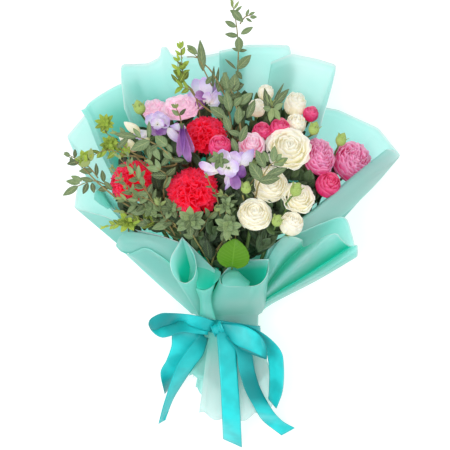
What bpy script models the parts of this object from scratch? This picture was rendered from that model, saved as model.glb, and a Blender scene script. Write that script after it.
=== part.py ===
"""A wrapped flower bouquet that lies on its back, flowers towards +Y and front face up.

Stems run from their cut ends through a tied waist and fan out to the blooms.
Sheets of florist's film wrap them, and a satin ribbon with a bow holds the film at the waist.
All values below are in millimetres and degrees. The meshes are made in metres.
"""
import math
import random

import bmesh
import bpy
from mathutils import Matrix, Vector

MM = 0.001
random.seed(11)

# Waist: where the stems are tied and the film is gathered into a short straight neck
WAIST_X = -3.0
WAIST_Y = -134.0
WAIST_Z = 30.0
NECK_TOP_Y = -121.0
NECK_END_Y = -147.0
CORE_HALF_WIDTH = 28.0
CORE_HALF_HEIGHT = 15.0
CORE_TOP_Y = -114.0
CORE_LOBES = 10
CUT_END_Y = -236.0
CUT_END_STEP = 7.0
TIE_GAP = 0.4
TIE_THICKNESS = 1.6
TIE_WIDTH = 9.0
TIE_SIDES = 20

# Film: its sheets lie in layers round the waist, one pitch apart
FILM_THICKNESS = 1.0
FILM_HALF_WIDTH = 31.0
FILM_HALF_HEIGHT = 18.0
LAYER_PITCH = 1.5
FILM_LAYERS = 6
SKIRT_HALF_WIDTH = 42.0
SKIRT_HALF_HEIGHT = 18.0
SKIRT_LENGTH = 110.0
SKIRT_PLEAT_DEPTH = 1.3
PLEAT_START = 14.0
NECK_END_LEVEL = -0.0001
LOWEST_LAYER = 4
FLOOR_SHARE = 0.34
FLOOR_LIFT = 1.7
COLUMN_ANGLE = 10

# Fan of blooms: the height of a bloom over the floor falls towards the back and the sides
FAN_APEX_Y = -177.0
FAN_APEX_Z = 25.0
FRONT_RISE = 32.0
BACK_RISE = 6.0
FRONT_ROW_Y = -10.0
FAN_DEPTH = 190.0
SIDE_DROP = 60.0
FAN_HALF_WIDTH = 200.0
HEAD_GAP = 1.2
SEAT_GAP = 0.4
SPRIG_GAP = 0.8

# Stems and leaves
STEM_RADIUS = 2.2
THIN_STEM_RADIUS = 1.6
TWIG_RADIUS = 1.1
BLADE_THICKNESS = 0.8
BUD_SIDES = 5
SMALL_LEAF = 20.5
LEAF_CLEARANCE = 2.2
STEM_CLEARANCE = 6.0
CALYX_LENGTH = 7.0
CALYX_SHARE = 0.14

# Ribbon: a satin ribbon 25 wide
RIBBON_WIDTH = 24.0
RIBBON_THICKNESS = 1.0
BAND_SIDES = 24
BAND_WIDTH = 20.0
BAND_GAP = 0.7

# Main stems that fork: the point where each one's side stems begin
FORKS = {
    "white_spray": (44, -34, 84),
    "white_back_spray": (42, 70, 74),
    "pink_spray": (92, 8, 72),
    "pink_small_spray": (26, 34, 84),
    "lisianthus_spray": (-56, 62, 70),
    "freesia_spray": (-44, 40, 78),
    "grey_back": (2, 96, 70),
    "grey_left": (-86, -14, 84),
    "grey_front": (-26, -60, 84),
    "grey_right": (26, 2, 104),
    "young_left": (-96, 62, 74),
}

# Each bloom: name, form, x, y, width across, lift over the fan, facing angle above the floor, fork
BLOOMS = [
    ("carnation_front", "carnation", -49, 42, 70, 0, 66, None),
    ("carnation_back", "carnation", -38, 118, 58, 0, 52, None),
    ("carnation_left", "carnation", -129, 57, 60, 0, 60, None),
    ("white_rose_front", "rose", 29, 11, 44, 4, 62, "white_spray"),
    ("white_rose_open", "rose", 78, 95, 53, 6, 64, "pink_small_spray"),
    ("white_rose_middle", "rose", 55, 50, 42, -4, 66, "white_spray"),
    ("white_rose_right", "rose", 89, 33, 42, 5, 62, "white_spray"),
    ("white_rose_low", "bud_rose", 77, -3, 32, 4, 50, "white_spray"),
    ("white_rose_upper", "bud_rose", 85, 158, 30, 0, 40, "white_back_spray"),
    ("white_rose_behind", "bud_rose", 84, 129, 27, -4, 50, "white_back_spray"),
    ("white_bud_left", "bud_rose", 33, 150, 24, 0, 42, "white_back_spray"),
    ("white_bud_top", "bud_rose", 45, 171, 22, 0, 38, "white_back_spray"),
    ("pink_rose_tall", "rose", 117, 87, 42, 0, 52, "pink_spray"),
    ("pink_rose_outer", "rose", 160, 80, 54, -8, 55, "pink_spray"),
    ("pink_rose_low", "bud_rose", 125, 50, 34, 2, 60, "pink_spray"),
    ("pink_bud_centre", "bud_rose", 41, 122, 24, 0, 50, "pink_small_spray"),
    ("pink_bud_right", "bud_rose", 61, 122, 24, 6, 50, "pink_small_spray"),
    ("pink_rose_pale", "bud_rose", 26, 100, 31, 8, 62, "pink_small_spray"),
    ("pink_rose_left", "bud_rose", -18, 99, 30, 8, 60, "pink_small_spray"),
    ("pink_bud_top", "bud_rose", 102, 144, 21, 0, 40, "white_back_spray"),
    ("lisianthus_pink", "lisianthus", -66, 152, 50, 0, 46, "lisianthus_spray"),
    ("lisianthus_side", "lisianthus", -102, 150, 35, -6, 38, "lisianthus_spray"),
    ("freesia_top", "freesia", -37, 174, 50, 4, 40, "freesia_spray"),
    ("freesia_left", "freesia", -98, 124, 48, 10, 52, "freesia_spray"),
    ("freesia_falling", "freesia", -62, 102, 38, 16, 30, "freesia_spray"),
    ("freesia_centre", "freesia", -4, 72, 62, 16, 66, None),
]

# Space that each bloom form keeps clear, over half its width: open flowers have gaps at their edge
FORM_ROOM = {"carnation": 1.0, "rose": 1.0, "bud_rose": 1.0, "lisianthus": 1.0, "freesia": 0.72}

# Height of each bloom form over its width
FORM_DEPTH = {"carnation": 0.62, "rose": 0.74, "bud_rose": 0.95, "lisianthus": 0.62, "freesia": 0.72}

# Each leafy sprig: name, route of its stem, pairs of leaves, leaf length and width, colour, fork
SPRIGS = [
    ("eucalyptus_tall", [(9, 150, 66), (8, 190, 68), (9, 225, 72), (7, 255, 76), (2, 284, 82)],
     6, 19, 9, "grey", "grey_back"),
    ("eucalyptus_twig", [(-20, 180, 84), (-28, 197, 82), (-38, 210, 82), (-48, 220, 84)],
     3, 23, 10, "grey", "grey_back"),
    ("young_shoot_back", [(-62, 186, 84), (-64, 202, 82), (-66, 230, 84)], 4, 14, 7, "young", "grey_back"),
    ("eucalyptus_centre", [(12, 118, 128), (9, 138, 122), (2, 165, 108), (-6, 186, 98)],
     5, 20, 10, "grey", "grey_back"),
    ("young_shoot_left", [(-134, 96, 112), (-150, 108, 104), (-166, 128, 98)], 5, 13, 7, "young", "young_left"),
    ("eucalyptus_arch", [(-74, 82, 142), (-92, 98, 144), (-118, 110, 138), (-146, 116, 126)],
     5, 18, 10, "grey", "young_left"),
    ("eucalyptus_far_left", [(-150, 34, 116), (-172, 52, 112), (-190, 70, 106), (-210, 86, 100)],
     4, 17, 8, "grey", "grey_left"),
    ("eucalyptus_on_carnation", [(-92, 14, 122), (-108, 40, 140), (-124, 62, 146), (-144, 84, 136)],
     5, 17, 8, "grey", "grey_left"),
    ("young_shoot_low", [(-92, 2, 112), (-120, 4, 114), (-142, 0, 108), (-162, -4, 102)],
     4, 14, 7, "young", "grey_left"),
    ("eucalyptus_low", [(-74, 0, 118), (-88, 10, 128), (-92, 24, 138)], 4, 15, 7, "grey", "grey_left"),
    ("eucalyptus_star_left", [(-48, -18, 118), (-54, -6, 136), (-57, 4, 152)], 4, 18, 8, "grey", "grey_front"),
    ("eucalyptus_star_right", [(-6, -10, 124), (-7, -4, 138), (-7, 2, 152)], 4, 17, 8, "grey", "grey_front"),
    ("eucalyptus_on_freesia", [(14, 36, 142), (8, 56, 160), (0, 80, 164)], 3, 13, 7, "grey", "grey_right"),
    ("eucalyptus_right", [(32, 40, 144), (36, 62, 158), (48, 78, 162), (62, 84, 162)],
     4, 19, 9, "grey", "grey_right"),
    ("eucalyptus_top_right", [(60, 142, 112), (58, 158, 108), (64, 172, 104), (72, 186, 100)],
     4, 20, 8, "grey", "white_back_spray"),
]

# Broad leaves and green buds that grow on the bundled stems: root and tip, width, fork
ROSE_LEAVES = [
    ((20, -34, 98), (44, -16, 110), 16, "white_spray"),
    ((104, 10, 84), (130, 22, 92), 15, "pink_spray"),
    ((-70, -24, 88), (-98, -36, 84), 15, "grey_left"),
    ((100, 100, 78), (126, 118, 86), 14, "white_back_spray"),
    ((-110, 80, 74), (-156, 84, 74), 15, "young_left"),
]
GREEN_BUDS = [
    (107, 122, 96, 11, "white_back_spray"),
    (141, 112, 84, 11, "pink_spray"),
    (78, 62, 142, 10, "white_spray"),
    (60, 6, 132, 11, "white_spray"),
    (18, 44, 138, 11, "white_spray"),
    (-124, 172, 78, 12, "lisianthus_spray"),
]

# The broad round leaf at the front: root, middle, width, facing tilt towards the stems' end
ROUND_LEAF_ROOT = (0, -66, 90)
ROUND_LEAF_MIDDLE = (2, -42, 99)
ROUND_LEAF_WIDTH = 42.0
ROUND_LEAF_THICKNESS = 1.0

# Film sheets. Angles go round the waist: 0 is right, 90 is the front, -90 the back on the floor.
# A rim is the sheet's free edge from its first angle to its last. Its heights on the back are over its layer.
SHEETS = {
    "film_side_right": {
        "layer": 4, "angles": (-120, 50), "skirt": 76,
        "rim": [(-64, 160, 0), (-16, 168, 0), (36, 170, 0), (86, 162, 0), (142, 152, 16), (192, 124, 46),
                (217, 86, 84), (172, 62, 108), (120, 22, 108), (54, -34, 96)],
    },
    "film_side_left": {
        "layer": 3, "angles": (-60, -240), "skirt": 64,
        "rim": [(92, 158, 7), (41, 166, 1), (-14, 168, 0), (-66, 172, 3), (-132, 184, 12), (-190, 150, 26),
                (-217, 115, 46), (-196, 70, 68), (-166, 28, 82), (-120, -8, 90)],
    },
    "film_back_left": {
        "layer": 2, "angles": (-150, -90), "skirt": 88,
        "rim": [(-140, 150, 66), (-145, 204, 54), (-110, 206, 36), (-90, 227, 38), (-76, 210, 34),
                (-30, 218, 34), (18, 226, 36)],
    },
    "film_back_centre": {
        "layer": 1, "angles": (-100, -60), "skirt": 108,
        "rim": [(-16, 214, 38), (18, 228, 40), (50, 228, 42), (75, 227, 44), (82, 204, 46)],
    },
    "film_back_right": {
        "layer": 0, "angles": (-80, -40), "skirt": 96,
        "rim": [(52, 196, 52), (78, 217, 54), (111, 210, 56), (134, 202, 60), (116, 124, 80)],
    },
    "film_front_left": {
        "layer": 4, "angles": (-160, -260), "skirt": 72,
        "rim": [(-192, 62, 52), (-203, 46, 58), (-206, 20, 68), (-166, 10, 86), (-124, -8, 98), (-90, -16, 106),
                (-62, -26, 110)],
    },
    "film_front_right": {
        "layer": 5, "angles": (-20, 70), "skirt": 70,
        "rim": [(150, -48, 52), (163, -40, 64), (158, -18, 82), (145, 4, 98), (110, -8, 112), (78, -26, 116),
                (46, -46, 112)],
        "pleat_depth": 4.0,
    },
    "film_front_centre": {
        "layer": 6, "angles": (60, 130), "skirt": 110,
        "rim": [(47, -48, 120), (37, -56, 110), (25, -54, 104), (13, -50, 114), (0, -58, 120), (-12, -74, 106),
                (-24, -96, 90)],
    },
}

# Film roll at the front left: a cone of film with an open, pointed mouth
ROLL_TIP = (-63, -22, 118.8)
ROLL_MOUTH = (-62, -56, 111.8)
ROLL_FOOT = (-34, -112, 58.8)
ROLL_MOUTH_RADIUS = 14.0
ROLL_FOOT_RADIUS = 3.0
ROLL_MOUTH_LENGTH = 18.0
ROLL_SIDES = 10
ROLL_STEPS = 3

# Bow: points of each strip's middle line, with the direction its face looks in
KNOT_MIDDLE = (-16, -134, 65.5)
KNOT_SIZE = (22, 22, 14)
TAILS = {
    "centre": [((-14, -140, 68), (0, 0, 1)), ((-9, -180, 66), (0, 0, 1)), ((-5, -220, 65), (0, 0, 1)),
               ((-2, -256, 64), (0, -0.4, 1)), ((0, -277, 34), (0, -1, 0.5)), ((1, -286, 3), (0, -1, 0.5))],
    "right": [((-6, -140, 67), (0, 0, 1)), ((20, -176, 66), (0.25, 0, 1)), ((40, -212, 56), (0.6, 0, 1)),
              ((60, -244, 24), (0.9, -0.3, 1)), ((80, -271, 3), (0.2, -0.2, 1))],
    "outer": [((-4, -134, 70), (0.1, 0, 1)), ((36, -146, 70), (0.4, 0, 1)), ((64, -170, 50), (0.9, 0, 0.8)),
              ((70, -202, 26), (0.9, 0, 0.8)), ((66, -234, 8), (0.3, 0, 1))],
    "left": [((-26, -140, 67), (-0.1, 0, 1)), ((-46, -168, 60), (-0.7, 0, 1)),
             ((-64, -200, 34), (-0.9, 0, 0.8)), ((-78, -232, 10), (-0.4, 0, 1)), ((-88, -256, 3), (-0.1, 0, 1))],
    "left_back": [((-26, -134, 64), (-0.1, 0, 1)), ((-68, -142, 58), (-0.4, 0, 1)),
                  ((-90, -172, 32), (-0.8, 0, 0.8)), ((-94, -200, 10), (-0.5, 0, 1)), ((-88, -222, 3), (0, 0, 1))],
}
LOOPS = {
    "left": [((-22, -134, 69), (0, 0, 1)), ((-56, -128, 84), (0, 0, 1)), ((-90, -124, 84), (-0.4, 0, 1)),
             ((-104, -126, 76), (-1, 0, 0)), ((-88, -130, 69), (-0.3, 0, -1)), ((-56, -133, 68), (0, 0, -1)),
             ((-22, -136, 66), (0, 0, -1))],
    "right": [((-8, -134, 69), (0, 0, 1)), ((18, -142, 84), (0, 0, 1)), ((40, -154, 84), (0.4, 0, 1)),
              ((48, -162, 78), (1, 0, 0)), ((38, -158, 73), (0.3, 0, -1)), ((16, -146, 72), (0, 0, -1)),
              ((-8, -138, 68), (0, 0, -1))],
}


def clear_scene():
    """Remove what the scene starts with."""
    for item in list(bpy.data.objects):
        bpy.data.objects.remove(item, do_unlink=True)


def make_material(name, colour, roughness):
    """A plain material in the colour that the photograph shows."""
    material = bpy.data.materials.new(name)
    material.use_nodes = True
    shader = material.node_tree.nodes["Principled BSDF"]
    shader.inputs["Base Color"].default_value = (*colour, 1.0)
    shader.inputs["Roughness"].default_value = roughness
    shader.inputs["Metallic"].default_value = 0.0
    material.diffuse_color = (*colour, 1.0)
    return material


def make_solid(name, points, faces, material):
    """An object from points in millimetres, with its faces turned outward."""
    mesh = bpy.data.meshes.new(name)
    mesh.from_pydata([Vector(point) * MM for point in points], [], faces)
    work = bmesh.new()
    work.from_mesh(mesh)
    bmesh.ops.recalc_face_normals(work, faces=work.faces)
    work.to_mesh(mesh)
    work.free()
    mesh.materials.append(material)
    item = bpy.data.objects.new(name, mesh)
    bpy.context.scene.collection.objects.link(item)
    return item


def join_solids(name, shapes, material, solver="EXACT"):
    """One body from overlapping shapes, by a Boolean union."""
    base = make_solid(name, *shapes[0], material)
    group = bpy.data.collections.new(name + "_pieces")
    bpy.context.scene.collection.children.link(group)
    for points, faces in shapes[1:]:
        piece = make_solid(name + "_piece", points, faces, material)
        bpy.context.scene.collection.objects.unlink(piece)
        group.objects.link(piece)
    union = base.modifiers.new("union", "BOOLEAN")
    union.operation = "UNION"
    union.operand_type = "COLLECTION"
    union.collection = group
    union.solver = solver
    view = bpy.context.evaluated_depsgraph_get()
    joined = bpy.data.meshes.new_from_object(base.evaluated_get(view))
    base.modifiers.clear()
    base.data = joined
    for piece in list(group.objects):
        bpy.data.objects.remove(piece, do_unlink=True)
    bpy.data.collections.remove(group)
    return base


def smooth_point(route, share):
    """A point on the smooth curve through a route, at a share from 0 to 1."""
    spans = len(route) - 1
    place = min(max(share, 0.0), 1.0) * spans
    index = min(int(place), spans - 1)
    t = place - index
    here = Vector(route[index])
    after = Vector(route[index + 1])
    before = Vector(route[index - 1]) if index > 0 else here * 2 - after
    beyond = Vector(route[index + 2]) if index + 2 <= spans else after * 2 - here
    return 0.5 * (2 * here + (after - before) * t + (2 * before - 5 * here + 4 * after - beyond) * t ** 2
                  + (3 * here - before - 3 * after + beyond) * t ** 3)


def ring_solid(rings, bottom, top):
    """A closed solid from rings of points, with a middle point below and above."""
    sides = len(rings[0])
    points = [point for ring in rings for point in ring] + [bottom, top]
    low = len(points) - 2
    high = len(points) - 1
    faces = []
    for side in range(sides):
        after = (side + 1) % sides
        faces.append((low, after, side))
        for level in range(len(rings) - 1):
            a = level * sides + side
            b = level * sides + after
            faces.append((a, b, b + sides))
            faces.append((a, b + sides, a + sides))
        last = (len(rings) - 1) * sides
        faces.append((high, last + side, last + after))
    return points, faces


def across(direction):
    """Two unit vectors at right angles to a direction."""
    direction = direction.normalized()
    helper = Vector((0, 0, 1)) if abs(direction.z) < 0.9 else Vector((1, 0, 0))
    first = direction.cross(helper).normalized()
    return first, direction.cross(first).normalized()


def tube(path, radii, sides):
    """A stem along a path, with a radius at each point."""
    rings = []
    count = len(path)
    first = None
    for index, point in enumerate(path):
        forward = (path[min(index + 1, count - 1)] - path[max(index - 1, 0)]).normalized()
        if first is None:
            first, _ = across(forward)
        first = (first - forward * first.dot(forward)).normalized()
        second = forward.cross(first)
        ring = []
        for side in range(sides):
            turn = math.tau * side / sides
            ring.append(point + (first * math.cos(turn) + second * math.sin(turn)) * radii[index])
        rings.append(ring)
    return ring_solid(rings, path[0], path[-1])


def film_grid(grid, thickness=FILM_THICKNESS):
    """A closed thin sheet round a grid of points, split into triangles alike on both faces."""
    rows = len(grid)
    columns = len(grid[0])
    upper = []
    lower = []
    for r in range(rows):
        for c in range(columns):
            along = grid[min(r + 1, rows - 1)][c] - grid[max(r - 1, 0)][c]
            sideways = grid[r][min(c + 1, columns - 1)] - grid[r][max(c - 1, 0)]
            normal = along.cross(sideways).normalized()
            upper.append(grid[r][c] + normal * thickness / 2)
            lower.append(grid[r][c] - normal * thickness / 2)
    points = upper + lower
    shift = rows * columns
    faces = []
    for r in range(rows - 1):
        for c in range(columns - 1):
            a = r * columns + c
            b = a + 1
            d = a + columns
            e = d + 1
            for offset, turn in ((0, 1), (shift, -1)):
                for corner in ((a, b, e), (a, e, d)):
                    faces.append(tuple(v + offset for v in corner[::turn]))
    edge = [c for c in range(columns)]
    edge += [r * columns + columns - 1 for r in range(1, rows)]
    edge += [(rows - 1) * columns + c for c in range(columns - 2, -1, -1)]
    edge += [r * columns for r in range(rows - 2, 0, -1)]
    for index, here in enumerate(edge):
        after = edge[(index + 1) % len(edge)]
        faces.append((here, after + shift, after))
        faces.append((here, here + shift, after + shift))
    return points, faces


def blade(root, tip, sideways, width, heads, small=False):
    """A pointed leaf, bent clear of the blooms before it gets its thickness."""
    spine = tip - root
    widths = ((0.5, 0.5),) if small else ((0.36, 0.5), (0.72, 0.36))
    one_side = [root + spine * share + sideways * width * half for share, half in widths]
    other_side = [root + spine * share - sideways * width * half for share, half in reversed(widths)]
    outline = [root] + [bend_clear(point, heads, LEAF_CLEARANCE) for point in one_side + [tip] + other_side]
    count = len(outline)
    normal = spine.cross(sideways).normalized() * BLADE_THICKNESS / 2
    points = [point + normal for point in outline] + [point - normal for point in outline]
    corners = ((0, 1, 3), (1, 2, 3)) if small else ((0, 1, 5), (1, 2, 5), (2, 4, 5), (2, 3, 4))
    faces = []
    for corner in corners:
        faces.append(corner)
        faces.append(tuple(v + count for v in reversed(corner)))
    for here in range(count):
        after = (here + 1) % count
        faces.append((here, here + count, after + count))
        faces.append((here, after + count, after))
    return points, faces


def bend_clear(point, heads, margin, skip=None):
    """Push a point out of every bloom's space, so that leaves and stems pass beside them."""
    point = Vector(point)
    for _ in range(4):
        for head in heads:
            if head["name"] == skip:
                continue
            away = point - head["centre"]
            keep = head["reach"] + margin
            if away.length < keep:
                point = head["centre"] + away.normalized() * keep
    return point


def fan_height(x, y):
    """Height of a bloom's centre on the fan of stems."""
    rise = FRONT_RISE + (BACK_RISE - FRONT_RISE) * (y - FRONT_ROW_Y) / FAN_DEPTH
    height = FAN_APEX_Z + (y - FAN_APEX_Y) * math.tan(math.radians(rise))
    return height - SIDE_DROP * (x / FAN_HALF_WIDTH) ** 2


def place_heads():
    """Every bloom's centre, axis and size, moved apart where two would press into each other."""
    heads = []
    for name, form, x, y, width, lift, facing, fork in BLOOMS:
        outward = Vector((x - WAIST_X, y - FAN_APEX_Y, 0)).normalized()
        angle = math.radians(facing)
        heads.append({
            "name": name, "form": form, "fork": fork, "width": width, "depth": width * FORM_DEPTH[form],
            "centre": Vector((x, y, fan_height(x, y) + lift)), "radius": width / 2 * FORM_ROOM[form],
            "reach": width / 2,
            "axis": (outward * math.cos(angle) + Vector((0, 0, math.sin(angle)))).normalized(),
        })
    for _ in range(80):
        for index, one in enumerate(heads):
            for other in heads[index + 1:]:
                apart = other["centre"] - one["centre"]
                short = one["radius"] + other["radius"] + HEAD_GAP - apart.length
                if short > 0:
                    push = Vector((apart.x * 0.45, apart.y * 0.45, apart.z)).normalized() * short * 0.3
                    one["centre"] -= push
                    other["centre"] += push
    for head in heads:
        head["base"] = head["centre"] - head["axis"] * head["depth"] / 2
    return heads


def stand(points, head):
    """Turn a bloom's own points, made round +Z from its base, to its place."""
    first, second = across(head["axis"])
    turned = Matrix((first, second, head["axis"])).transposed()
    return [head["base"] + turned @ Vector(point) for point in points]


def petal_wave(angle, petals, phase):
    """1 in the middle of a petal's edge and 0 where two petals meet."""
    return abs(math.cos(petals * (angle - phase) / 2)) ** 0.7


def rose_rings(width, depth, sides, layers, flare, petals):
    """Rings of a bloom whose petals stand in nested cups, rim and valley by turns."""
    radius = width / 2
    rings = []
    for share, height in ((0.3, 0.0), (0.74, 0.22)):
        rings.append([(radius * share, height * depth)] * sides)
    for layer in range(layers):
        inward = 1 - layer / layers
        phase = layer * 0.9
        rim = []
        valley = []
        for side in range(sides):
            wave = petal_wave(math.tau * side / sides, petals, phase)
            swell = 1 + 0.05 * (wave - 0.5) if layer == 0 else 1
            lip = (0.62 + (1 - flare) * 0.1 + 0.30 * (1 - inward ** 1.4)) * depth
            rim.append((radius * (0.14 + 0.84 * inward) * swell, lip + 0.10 * depth * (wave - 0.5)))
            valley.append((radius * (0.14 + 0.84 * (inward - 0.55 / layers)), lip - 0.12 * depth))
        rings.append(rim)
        rings.append(valley)
    return rings


def round_solid(rings, top_height):
    """A closed solid from rings that are given as radius and height."""
    sides = len(rings[0])
    placed = []
    for ring in rings:
        placed.append([Vector((r * math.cos(math.tau * side / sides), r * math.sin(math.tau * side / sides), z))
                       for side, (r, z) in enumerate(ring)])
    return ring_solid(placed, Vector((0, 0, rings[0][0][1])), Vector((0, 0, top_height)))


def carnation_rings(width, depth):
    """Rings of a carnation: a dome of crowded petals with fringed edges."""
    radius = width / 2
    sides = 18
    rings = [[(radius * 0.2, 0.0)] * sides, [(radius * 0.8, depth * 0.38)] * sides]
    for level, share in enumerate((0.97, 0.8, 0.62, 0.44, 0.24)):
        ring = []
        for side in range(sides):
            tooth = random.choice((-1, 1))
            height = 0.5 + 0.42 * (1 - share ** 1.8) + tooth * 0.06 + random.uniform(-0.03, 0.03)
            ring.append((radius * (share + (0.03 * tooth if level == 0 else 0.0)), depth * height))
        rings.append(ring)
    return rings


def freesia_rings(width, depth):
    """Rings of a funnel flower: six long petals that open round a deep throat."""
    radius = width / 2
    sides = 18
    rings = [[(radius * 0.14, 0.0)] * sides, [(radius * 0.2, depth * 0.34)] * sides]
    reach = []
    for side in range(sides):
        inner_petal = (side // 3) % 2
        wave = (0.4, 0.96, 1.0)[side % 3] * (0.9 if inner_petal else 1.0)
        reach.append((wave, depth * (0.1 if inner_petal else 0.0)))
    rings.append([(radius * (0.25 + 0.2 * wave), depth * 0.5 + lift * 0.5) for wave, lift in reach])
    rings.append([(radius * wave * 0.98, depth * 0.74 + lift) for wave, lift in reach])
    rings.append([(radius * wave * 0.94, depth * 0.74 + lift + 1.3) for wave, lift in reach])
    rings.append([(radius * (0.2 + 0.2 * wave), depth * 0.62 + lift * 0.5) for wave, lift in reach])
    rings.append([(radius * 0.07, depth * 0.72)] * sides)
    return rings


def build_blooms(heads, materials):
    """Each bloom as a solid of its own, petals in their layers."""
    for head in heads:
        colour = materials[head["name"].split("_")[0] + ("_side" if "pale" in head["name"] else "")]
        width = head["width"]
        depth = head["depth"]
        form = head["form"]
        if form == "freesia":
            points, faces = round_solid(freesia_rings(width, depth), depth * 0.8)
        elif form == "carnation":
            points, faces = round_solid(carnation_rings(width, depth), depth * 0.96)
        elif form == "rose":
            points, faces = round_solid(rose_rings(width, depth, 12, 4, 1.0, 5), depth * 0.98)
        elif form == "bud_rose":
            points, faces = round_solid(rose_rings(width, depth, 8, 3, 0.2, 5), depth * 0.98)
        else:
            points, faces = round_solid(rose_rings(width, depth, 12, 3, 1.0, 4), depth * 0.9)
        make_solid(head["name"], stand(points, head), faces, colour)


def waist_point(goal):
    """Where the stem that goes to a point passes the waist."""
    reach = max(goal.y - WAIST_Y, 40.0)
    across_share = max(-1.0, min(1.0, (goal.x - WAIST_X) / (reach * 0.75)))
    up_share = max(-1.0, min(1.0, ((goal.z - WAIST_Z) / reach - 0.42) / 0.4))
    x = WAIST_X + across_share * (CORE_HALF_WIDTH - 5)
    z = WAIST_Z + up_share * (CORE_HALF_HEIGHT - 5) * math.sqrt(max(0.0, 1 - across_share ** 2 * 0.8))
    return Vector((x, CORE_TOP_Y - 6, z))


def stem_path(goal, arrival, heads, fork=None, skip=None, steps=4):
    """Points of a stem from the waist, or from its fork, to a goal that it reaches along a direction."""
    start = Vector(FORKS[fork]) if fork else waist_point(goal)
    leaving = (start - waist_point(start)).normalized() if fork else (goal - start).normalized()
    reach = (goal - start).length
    first = start + leaving * reach * 0.3
    second = goal - arrival * min(22.0, reach * 0.3)
    path = []
    for step in range(steps + 1):
        t = step / steps
        u = 1 - t
        point = start * u ** 3 + first * 3 * t * u ** 2 + second * 3 * t * t * u + goal * t ** 3
        path.append(point if step in (0, steps) else bend_clear(point, heads, STEM_CLEARANCE, skip))
    return path


def core_shape():
    """The bundled stems from their cut ends to the waist, as one fluted column with uneven ends."""
    sides = CORE_LOBES * 2
    rings = []
    for y, grow in ((CUT_END_Y, 1.08), (-180.0, 1.0), (CORE_TOP_Y, 1.0)):
        ring = []
        for side in range(sides):
            turn = math.tau * side / sides
            flute = grow if side % 2 else grow - 0.12
            step = CUT_END_STEP * ((side // 2) % 3) if y == CUT_END_Y and side % 2 else 0.0
            ring.append(Vector((WAIST_X + CORE_HALF_WIDTH * flute * math.cos(turn), y - step,
                                WAIST_Z + CORE_HALF_HEIGHT * flute * math.sin(turn))))
        rings.append(ring)
    return ring_solid(rings, Vector((WAIST_X, CUT_END_Y, WAIST_Z)), Vector((WAIST_X, CORE_TOP_Y, WAIST_Z)))


def bud_shape(centre, up, width):
    """A closed green bud on its stem."""
    first, second = across(up)
    rings = []
    for share, height in ((0.12, -0.6), (0.45, -0.25), (0.42, 0.2), (0.16, 0.6)):
        turns = [math.tau * side / BUD_SIDES for side in range(BUD_SIDES)]
        rings.append([centre + (first * math.cos(turn) + second * math.sin(turn))
                      * width * share + up * width * height for turn in turns])
    return ring_solid(rings, centre - up * width * 0.62, centre + up * width * 0.7)


def build_stems(heads, sprigs, material):
    """The stem bundle: column, fanned stems, calyxes, broad leaves and green buds in one body."""
    shapes = [core_shape()]
    apex = Vector((WAIST_X, FAN_APEX_Y, FAN_APEX_Z))
    for fork in FORKS.values():
        goal = Vector(fork)
        arrival = (goal - waist_point(goal)).normalized()
        shapes.append(tube(stem_path(goal + arrival, arrival, heads, steps=2), [STEM_RADIUS] * 3, 5))
    for head in heads:
        neck = head["base"] - head["axis"] * (SEAT_GAP + CALYX_LENGTH)
        seat = head["base"] - head["axis"] * SEAT_GAP
        radius = THIN_STEM_RADIUS if head["fork"] else STEM_RADIUS
        path = stem_path(neck, head["axis"], heads, head["fork"], head["name"], steps=3)
        sides = 3 if head["fork"] else 4
        shapes.append(tube(path + [seat], [radius] * 4 + [head["width"] * CALYX_SHARE], sides))
    for start, direction, fork in sprigs:
        goal = start - direction * SPRIG_GAP
        path = stem_path(goal, direction, heads, fork, steps=3)
        shapes.append(tube(path, [THIN_STEM_RADIUS] * 3 + [TWIG_RADIUS * 0.8], 3))
    for root, tip, width, fork in ROSE_LEAVES:
        root = bend_clear(root, heads, STEM_CLEARANCE)
        tip = Vector(tip)
        path = stem_path(root, (tip - root).normalized(), heads, fork, steps=2)
        shapes.append(tube(path, [TWIG_RADIUS] * 3, 3))
        sideways = (tip - root).cross(Vector((0, 0, 1))).normalized()
        shapes.append(blade(root, tip, sideways, width, heads))
    for x, y, z, width, fork in GREEN_BUDS:
        centre = bend_clear((x, y, z), heads, width * 0.7 + 1.0)
        up = (centre - apex).normalized()
        shapes.append(tube(stem_path(centre, up, heads, fork, steps=3), [TWIG_RADIUS] * 4, 3))
        shapes.append(bud_shape(centre, up, width))
    join_solids("stem_bundle", shapes, material, "MANIFOLD")


def build_round_leaf(material):
    """The broad round leaf at the front, with a shallow scalloped edge and a raised midrib."""
    root = Vector(ROUND_LEAF_ROOT)
    middle = Vector(ROUND_LEAF_MIDDLE)
    along = (middle - root).normalized()
    sideways = along.cross(Vector((0, 0, 1))).normalized()
    normal = sideways.cross(along).normalized()
    sides = 18
    rings = []
    for lift in (-ROUND_LEAF_THICKNESS / 2, ROUND_LEAF_THICKNESS / 2):
        ring = []
        for side in range(sides):
            turn = math.tau * side / sides
            radius = ROUND_LEAF_WIDTH / 2 * (1.0 if side % 2 else 0.94)
            cup = 0.06 * ROUND_LEAF_WIDTH * math.cos(2 * turn)
            ring.append(middle + along * radius * math.cos(turn) + sideways * radius * math.sin(turn)
                        + normal * (cup + lift))
        rings.append(ring)
    make_solid("round_leaf", *ring_solid(rings, middle - normal * 0.5, middle + normal * 1.2), material)


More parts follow.
